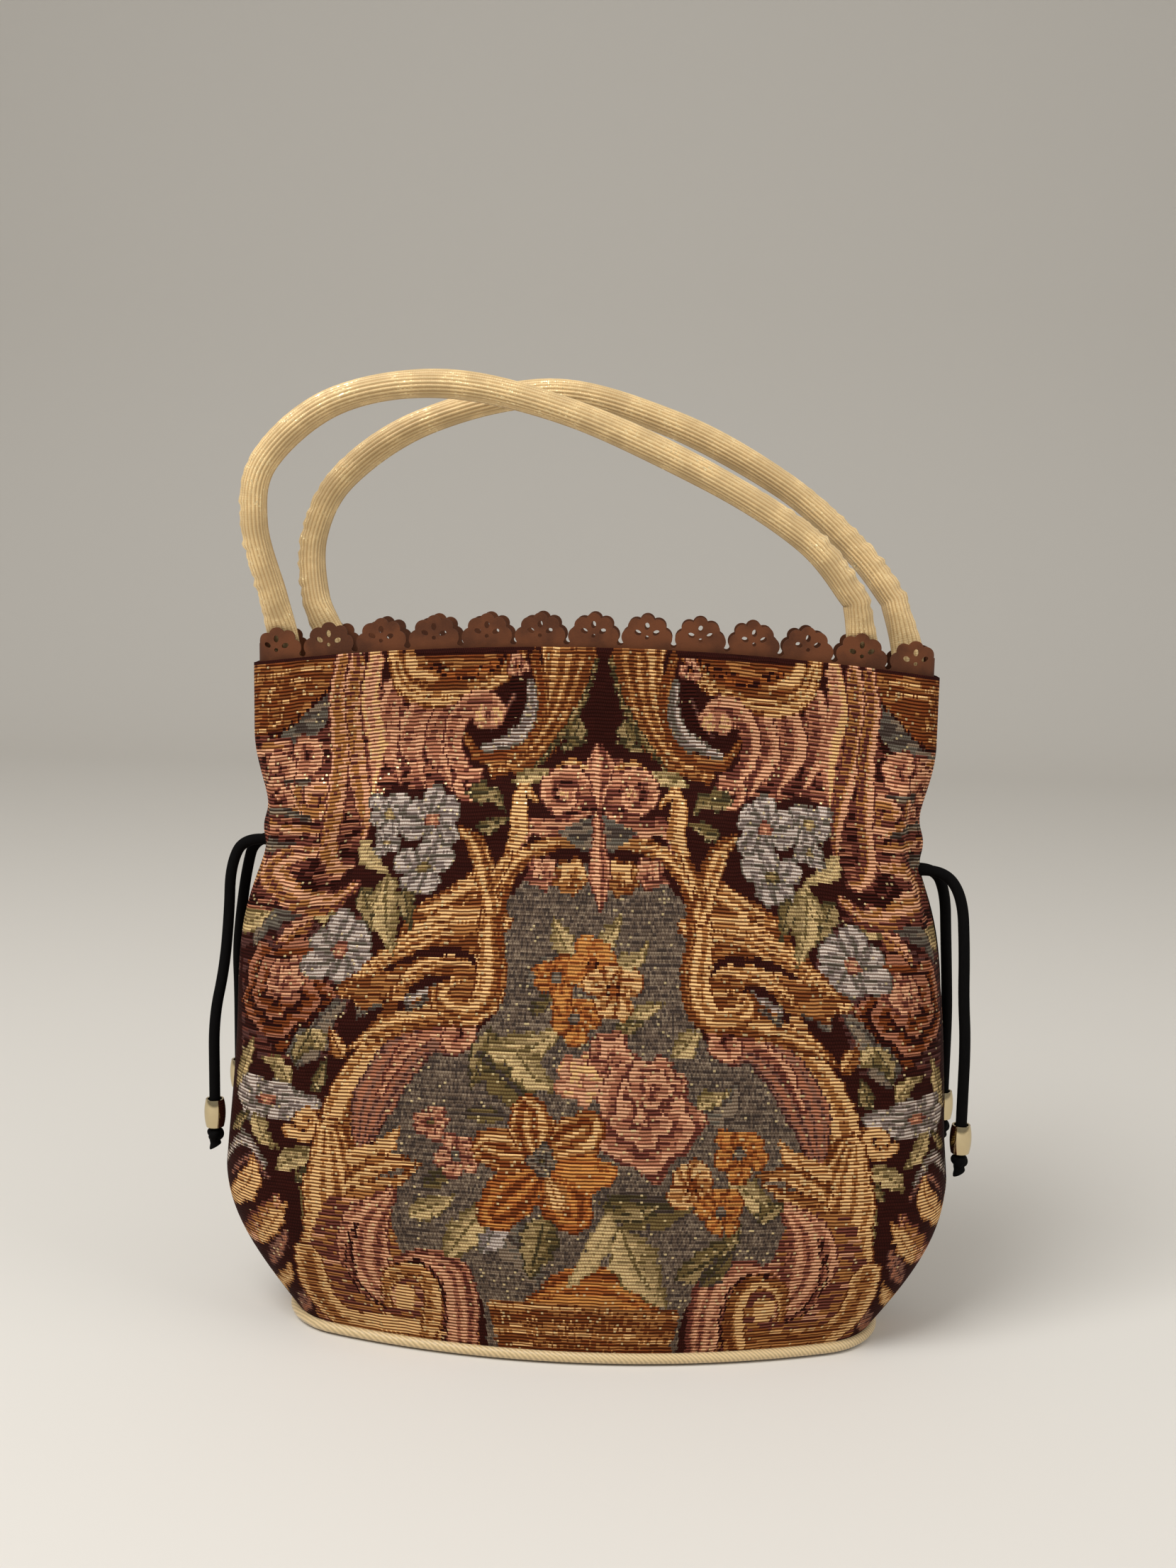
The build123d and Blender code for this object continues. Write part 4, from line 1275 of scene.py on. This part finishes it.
def piping_material(cloth):
    """Satin piping with a fine slanting twill, its lighter and darker twill lines partly the twill's own
    tone and partly painted sheen.
    """
    material, tree, surface = new_material("champagne_piping")
    place = object_place(tree)
    grain = node(tree, "TexWave", place, bands_direction="DIAGONAL")
    grain.node.inputs["Scale"].default_value = 420.0
    grain.node.inputs["Distortion"].default_value = 1.5
    # Lighter and darker twill lines: partly the twill's own tone, partly painted sheen
    shade = grain.node.outputs["Fac"]
    base = mix_colours(tree, shade, tint(cloth, 0.72), tint(cloth, 1.15))
    tree.links.new(base, surface.inputs["Base Color"])
    surface.inputs["Roughness"].default_value = 0.45
    surface.inputs["Sheen Weight"].default_value = 0.25
    bump(tree, surface, shade, 0.12 * MM, 0.5)
    return material


def leather_material(leather, dark):
    """Matt brown cut leather, uneven and darker in patches."""
    material, tree, surface = new_material("chocolate_leather")
    place = object_place(tree)
    patches = ramp_between(tree, noise(tree, place, 90.0, 4.0), 0.38, 0.66)
    grain = noise(tree, place, 2600.0, 3.0)
    base = mix_colours(tree, patches, tuple(dark), tuple(leather))
    base = mix_colours(tree, times(tree, grain, 0.35), base, tint(leather, 1.6))
    tree.links.new(base, surface.inputs["Base Color"])
    tree.links.new(spread(tree, grain, 0.55, 0.8), surface.inputs["Roughness"])
    surface.inputs["Specular IOR Level"].default_value = 0.2
    bump(tree, surface, grain, 0.10 * MM, 0.5)
    return material


def cord_material(black):
    """Black satin cord with a fine sheen along it, painted as lighter and darker streaks that are partly
    fibre tone.
    """
    material, tree, surface = new_material("black_satin_cord")
    place = object_place(tree)
    along = node(tree, "VectorMath", place, (2200.0, 2200.0, 500.0), operation="MULTIPLY")
    fibre_and_sheen = noise(tree, along, 1.0, 3.0)
    # Lighter and darker streaks along the cord: partly fibre tone, partly painted sheen
    base = mix_colours(tree, fibre_and_sheen, tint(black, 0.5), tint(black, 1.5))
    tree.links.new(base, surface.inputs["Base Color"])
    surface.inputs["Roughness"].default_value = 0.85
    surface.inputs["Specular IOR Level"].default_value = 0.06
    bump(tree, surface, fibre_and_sheen, 0.10 * MM, 0.5)
    return material


def metal_material(metal):
    """Polished pale gold with faint scratches."""
    material, tree, surface = new_material("polished_pale_gold")
    place = object_place(tree)
    worn = noise(tree, place, 700.0, 4.0)
    tree.links.new(node(tree, "MapRange", worn, 0.3, 0.8, 0.05, 0.16), surface.inputs["Roughness"])
    base = mix_colours(tree, worn, tint(metal, 0.9), tuple(metal))
    tree.links.new(base, surface.inputs["Base Color"])
    surface.inputs["Metallic"].default_value = 1.0
    return material


def plain_cloth_material(name, cloth, scale, roughness):
    """Plain woven or pressed sheet, uneven in tone."""
    material, tree, surface = new_material(name)
    place = object_place(tree)
    weave = node(tree, "TexWave", place)
    weave.node.inputs["Scale"].default_value = scale
    tone = times(tree, weave.node.outputs["Fac"], noise(tree, place, 150.0, 3.0))
    base = mix_colours(tree, tone, tint(cloth, 0.75), tint(cloth, 1.2))
    tree.links.new(base, surface.inputs["Base Color"])
    surface.inputs["Roughness"].default_value = roughness
    bump(tree, surface, tone, 0.10 * MM, 0.4)
    return material


# Swept pieces


def sweep(name, path, across, deep):
    """Tube along a path: each ring's offsets across and deep are given ring by ring."""
    heading = np.gradient(path, axis=0)
    heading /= np.linalg.norm(heading, axis=1, keepdims=True)
    depth_axis = np.array((0.0, 1.0, 0.0)) - heading * heading[:, 1:2]
    depth_axis /= np.linalg.norm(depth_axis, axis=1, keepdims=True)
    cross_axis = np.cross(heading, depth_axis)
    rings = path[:, None] + across[..., None] * cross_axis[:, None] + deep[..., None] * depth_axis[:, None]
    mesh = mesh_from_grid(name, rings, wrap=True)
    map_threads(mesh, len(path) - 1, across.shape[1])
    return mesh


def handle_path(shares, side, body, trim):
    """Middle line of a handle, foot to foot."""
    half_mouth = body.mouth_width / 2
    low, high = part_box("handle_front" if side < 0 else "handle_back")
    foot_y = side * (min(abs(low.y), abs(high.y)) + trim.foot_thickness / 2)
    insets = (trim.outer_inset, trim.inner_inset) if side < 0 else (trim.inner_inset, trim.outer_inset)
    points = []
    for x_share, z_share in shares:
        lean = min(2 * z_share, 1)
        y = foot_y + (side * trim.handle_spread - foot_y) * lean
        points.append((half_mouth * x_share, y, body.bag_height + trim.handle_rise * z_share))
    ends = []
    for hand, inset in zip((-1, 1), insets):
        x = hand * (half_mouth - inset)
        ends.append([(x, foot_y, low.z), (x, foot_y, low.z + FOOT_STRAIGHT)])
    return curve_through(ends[0] + points + ends[1][::-1], HANDLE_STEPS)


def make_handle(node_name, side, settings, material):
    """Stuffed tube handle of ribbed cloth, flat at its feet, puckered inside its bends."""
    body, trim = settings.body, settings.trim
    path = handle_path(HANDLE_SHARES[node_name], side, body, trim)
    steps = np.linalg.norm(np.diff(path, axis=0), axis=1)
    run = np.concatenate([[0], np.cumsum(steps)])
    even = np.linspace(0, run[-1], HANDLE_RINGS)
    path = np.stack([np.interp(even, run, path[:, axis]) for axis in range(3)], axis=1)
    angle = np.linspace(0, 2 * np.pi, HANDLE_SEGMENTS, endpoint=False)[None, :]
    from_foot = np.minimum(even, run[-1] - even)[:, None]
    full = ease(np.clip((from_foot - FOOT_FLAT) / FOOT_FILL, 0, 1))
    half_across = trim.foot_width / 2 + (trim.handle_width / 2 - trim.foot_width / 2) * full
    half_deep = trim.foot_thickness / 2 + (trim.handle_width / 2 - trim.foot_thickness / 2) * full
    ribs = trim.rib_height * np.cos(HANDLE_RIBS * angle) * full
    chance = np.random.RandomState(HANDLE_SEEDS[node_name])
    wave = np.zeros_like(from_foot)
    for count in PUCKER_WAVES:
        wave = wave + np.sin(2 * np.pi * (count * even[:, None] / run[-1] + chance.rand()))
    near_foot = np.exp(-((from_foot - PUCKER_PLACE) / PUCKER_SPREAD) ** 2)
    inner = np.clip(np.cos(angle), 0, 1)
    pucker = -PUCKER_DEPTH * wave * near_foot * inner * full
    filling = np.sin(2 * np.pi * FILLING_WAVES * even[:, None] / run[-1] + 2 * angle)
    from_seam = np.angle(np.exp(1j * (angle - SEAM_ANGLE))) / SEAM_SPREAD
    lip = trim.seam_lip * np.exp(-(from_seam**2)) * full
    bulge = ribs + pucker + FILLING_DEPTH * filling * full + lip
    across = (half_across + bulge) * np.cos(angle)
    deep = (half_deep + bulge) * np.sin(angle)
    mesh = sweep(node_name + "_cover", path, across, deep)
    piece = add_piece(node_name + "_cover", mesh, material, "bag")
    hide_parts(node_name)


def make_cord(name, trim, material):
    """Free cord end that hangs from a side hole through its bead to its knot."""
    route = [tuple(value * MM for value in point) for point in CORD_ROUTES[name]]
    curve = bpy.data.curves.new(name + "_drawstring", "CURVE")
    curve.dimensions = "3D"
    curve.resolution_u = 16
    curve.bevel_depth = trim.cord_diameter / 2
    curve.bevel_resolution = 6
    curve.use_fill_caps = True
    spline = curve.splines.new("NURBS")
    spline.points.add(len(route) - 1)
    for point, place in zip(spline.points, route):
        point.co = (*place, 1)
    spline.order_u = 3
    spline.use_endpoint_u = True
    piece = add_piece(name + "_drawstring", curve, material, "bag")
    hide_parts(name + "_cord")
    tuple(route[0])


def knot_turns(place, size):
    """Rings of a closed overhand knot round a place."""
    turn = np.linspace(0, 2 * np.pi, KNOT_RINGS, endpoint=False)
    loops = size * np.stack(
        [
            np.sin(turn) + 2 * np.sin(2 * turn),
            np.cos(turn) - 2 * np.cos(2 * turn),
            -KNOT_RISE * np.sin(3 * turn),
        ],
        axis=1,
    )
    loops += place
    heading = np.roll(loops, -1, axis=0) - np.roll(loops, 1, axis=0)
    heading /= np.linalg.norm(heading, axis=1, keepdims=True)
    first = np.cross(heading, (0.0, 0.0, 1.0))
    first /= np.linalg.norm(first, axis=1, keepdims=True)
    second = np.cross(heading, first)
    angle = np.linspace(0, 2 * np.pi, KNOT_SEGMENTS, endpoint=False)[None, :, None]
    around = np.cos(angle) * first[:, None] + np.sin(angle) * second[:, None]
    rings = loops[:, None] + KNOT_RADIUS * around
    return np.concatenate([rings, rings[:1]])


def knot_tail(x, y, top, bottom, radius):
    """Rings of a knot's tail from its top down to its slanted, closed end."""
    level = np.linspace(0, 1, TAIL_RINGS)[:, None]
    angle = np.linspace(0, 2 * np.pi, TAIL_SEGMENTS, endpoint=False)[None, :]
    swell = radius * (1 + 0.06 * np.sin(9 * level))
    height = top + (bottom - top) * level + TAIL_SLANT * np.cos(angle) * level
    rings = np.stack([x + swell * np.cos(angle), y + swell * np.sin(angle), height], axis=-1)
    rim = rings[-1:]
    middle = np.repeat(rim.mean(axis=1, keepdims=True), TAIL_SEGMENTS, axis=1)
    return np.concatenate([rings, (rim + middle) / 2, middle])


def make_knot(name, trim, material):
    """Overhand stop knot pulled tight, with a slanted tail."""
    x, y, z = (value * MM for value in CORD_ROUTES[name][-1])
    low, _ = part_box(name + "_knot")
    turns = knot_turns((x, y, z - KNOT_DROP), trim.knot_turn)
    tail = knot_tail(x, y, z - TAIL_DROP, low.z + TAIL_LIFT, trim.cord_diameter / 2)
    turns_mesh = mesh_from_grid(name + "_knot_turns", turns, wrap=True)
    tail_mesh = mesh_from_grid(name + "_tail", tail, wrap=True)
    joined = join_meshes(name + "_stop_knot", [turns_mesh, tail_mesh])
    piece = add_piece(name + "_stop_knot", joined, material, "bag")
    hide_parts(name + "_knot")
    return piece


def join_meshes(name, meshes):
    """One mesh of several, which are removed."""
    places = []
    cells = []
    for mesh in meshes:
        start = len(places)
        places += [tuple(vertex.co) for vertex in mesh.vertices]
        cells += [[start + index for index in cell.vertices] for cell in mesh.polygons]
        bpy.data.meshes.remove(mesh)
    joined = bpy.data.meshes.new(name)
    joined.from_pydata(places, [], cells)
    joined.polygons.foreach_set("use_smooth", np.ones(len(joined.polygons), dtype=bool))
    joined.validate()
    joined.update()
    return joined


def dress_node(name, material):
    """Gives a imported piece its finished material."""
    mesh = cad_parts[name].data
    mesh.materials.clear()
    mesh.materials.append(material)


# Operators


class BAG_OT_panels(bpy.types.Operator):
    """Front and back panels of woven tapestry"""

    bl_idname = "bag.panels"
    bl_label = "Tapestry panels"

    def execute(self, context):
        settings = context.scene.bag
        front = panel_places(settings.body)
        colours, lines = weave_tapestry(front, settings.yarns)
        material = tapestry_material()
        for node_name, turn in (("front_panel", 1), ("back_panel", -1)):
            places = front * (turn, turn, 1)
            mesh = mesh_from_grid(node_name + "_cloth", places)
            map_threads(mesh, PICK_COUNT + HEM_ROWS, WARP_COUNT)
            paint_cells(mesh, colours, lines)
            piece = add_piece(node_name + "_cloth", mesh, material, "bag")
            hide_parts(node_name)
        return {"FINISHED"}


class BAG_OT_base(bpy.types.Operator):
    """Base panel, board, piping and lining"""

    bl_idname = "bag.base"
    bl_label = "Base and lining"

    def execute(self, context):
        finish = context.scene.bag.finish
        oxblood = context.scene.bag.yarns.oxblood
        dress_node("base_panel", plain_cloth_material("base_cloth", oxblood, 900.0, 0.85))
        dress_node("base_board", plain_cloth_material("pulp_board", finish.board, 60.0, 0.9))
        dress_node("lining", plain_cloth_material("lining_cloth", finish.lining, 1400.0, 0.55))
        dress_node("base_piping", piping_material(finish.piping))
        return {"FINISHED"}


class BAG_OT_handles(bpy.types.Operator):
    """Two stuffed handles of ribbed gold cloth"""

    bl_idname = "bag.handles"
    bl_label = "Handles"

    def execute(self, context):
        settings = context.scene.bag
        material = gold_cloth_material(settings.finish.handle, settings.finish.handle_light)
        make_handle("handle_front", -1, settings, material)
        make_handle("handle_back", 1, settings, material)
        return {"FINISHED"}


class BAG_OT_trim(bpy.types.Operator):
    """Scalloped leather trim at the mouth"""

    bl_idname = "bag.trim"
    bl_label = "Scalloped trim"

    def execute(self, context):
        finish = context.scene.bag.finish
        dress_node("scalloped_trim", leather_material(finish.leather, finish.leather_dark))
        return {"FINISHED"}


class BAG_OT_drawstrings(bpy.types.Operator):
    """Drawstrings with their beads and knots"""

    bl_idname = "bag.drawstrings"
    bl_label = "Drawstrings"

    def execute(self, context):
        settings = context.scene.bag
        black = cord_material(settings.finish.cord)
        metal = metal_material(settings.finish.metal)
        for name in CORD_ROUTES:
            dress_node(name + "_bead", metal)
            knot = make_knot(name, settings.trim, black)
            make_cord(name, settings.trim, black)
        dress_node("drawstring_left_loop", black)
        dress_node("drawstring_right_loop", black)
        return {"FINISHED"}


class BAG_OT_stage(bpy.types.Operator):
    """Pale floor, soft light and the photograph's camera"""

    bl_idname = "bag.stage"
    bl_label = "Stage"

    def execute(self, context):
        scene = context.scene
        stage = scene.bag.stage
        scene.view_settings.view_transform = "Standard"
        camera = bpy.data.cameras.new("photo_camera")
        camera.sensor_fit = "VERTICAL"
        camera.angle = 2 * math.atan(PHOTO_HEIGHT / 2 / FOCAL_PIXELS)
        camera.clip_start = 0.01
        viewer = bpy.data.objects.new("photo_camera", camera)
        right, up, forward = camera_axes()
        turn = Matrix((right, up, -forward)).transposed().to_4x4()
        viewer.matrix_world = Matrix.Translation(CAMERA_PLACE) @ turn
        scene.collection.objects.link(viewer)
        scene.camera = viewer
        self.add_floor(scene, stage)
        self.add_lamp(scene, "key", KEY_PLACE, stage.key_power)
        self.add_lamp(scene, "side", SIDE_PLACE, stage.side_power)
        world = bpy.data.worlds.new("soft_room")
        world.use_nodes = True
        tree = world.node_tree
        direction = node(tree, "SeparateXYZ", node(tree, "TexCoord").node.outputs["Generated"])
        overhead = ramp_between(tree, direction.node.outputs[2], -0.1, 0.75)
        sky = mix_colours(tree, overhead, SKY_LEVEL, SKY_OVERHEAD)
        tree.links.new(sky, tree.nodes["Background"].inputs["Color"])
        tree.nodes["Background"].inputs["Strength"].default_value = stage.world_strength
        scene.world = world
        return {"FINISHED"}

    def add_floor(self, scene, stage):
        """Floor that curves up into a backdrop, far behind the bag."""
        profile = [(-FLOOR_REACH, 0.0), (FLOOR_DEPTH, 0.0)]
        for step in range(1, FLOOR_STEPS + 1):
            angle = math.pi / 2 * step / FLOOR_STEPS
            y = FLOOR_DEPTH + FLOOR_BEND * math.sin(angle)
            profile.append((y, FLOOR_BEND * (1 - math.cos(angle))))
        profile.append((FLOOR_DEPTH + FLOOR_BEND, FLOOR_RISE))
        places = np.array([[(x, y, z) for x in (-FLOOR_REACH, FLOOR_REACH)] for y, z in profile])
        mesh = mesh_from_grid("floor", places)
        floor = bpy.data.objects.new("floor", mesh)
        material, _, surface = new_material("pale_floor")
        surface.inputs["Base Color"].default_value = (*stage.floor, 1)
        surface.inputs["Roughness"].default_value = 0.9
        mesh.materials.append(material)
        scene.collection.objects.link(floor)

    def add_lamp(self, scene, name, place, power):
        """Square soft lamp that points at the bag."""
        lamp = bpy.data.lights.new(name, "AREA")
        lamp.size = LAMP_SIZE
        lamp.energy = power
        holder = bpy.data.objects.new(name, lamp)
        holder.location = place
        aim = Vector(LAMP_TARGET) - Vector(place)
        holder.rotation_euler = aim.to_track_quat("-Z", "Y").to_euler()
        scene.collection.objects.link(holder)


class BAG_PT_panel(bpy.types.Panel):
    """Lists the steps that make the bag"""

    bl_idname = "BAG_PT_panel"
    bl_label = "Tapestry bag"
    bl_space_type = "VIEW_3D"
    bl_region_type = "UI"
    bl_category = "Bag"

    def draw(self, context):
        for step in STEPS:
            self.layout.operator(step.bl_idname)
        bag = context.scene.bag
        for group in (bag.body, bag.trim, bag.yarns, bag.finish, bag.stage):
            for name in group.__annotations__:
                self.layout.prop(group, name)


STEPS = (BAG_OT_stage, BAG_OT_drawstrings, BAG_OT_panels, BAG_OT_base, BAG_OT_handles, BAG_OT_trim)
GROUPS = (BodySizes, YarnColours, FinishColours, TrimSizes, StageSettings, BagSettings)


def register():
    """Adds the settings, the steps and the panel."""
    for kind in GROUPS + STEPS + (BAG_PT_panel,):
        bpy.utils.register_class(kind)
    bpy.types.Scene.bag = bpy.props.PointerProperty(type=BagSettings)


def unregister():
    """Takes them away again."""
    del bpy.types.Scene.bag
    for kind in reversed(GROUPS + STEPS + (BAG_PT_panel,)):
        bpy.utils.unregister_class(kind)


def main():
    """Builds the bag."""
    register()
    bpy.ops.bag.stage()
    bpy.ops.bag.drawstrings()
    bpy.ops.bag.panels()
    bpy.ops.bag.base()
    bpy.ops.bag.handles()
    bpy.ops.bag.trim()


if __name__ == "__main__":
    main()
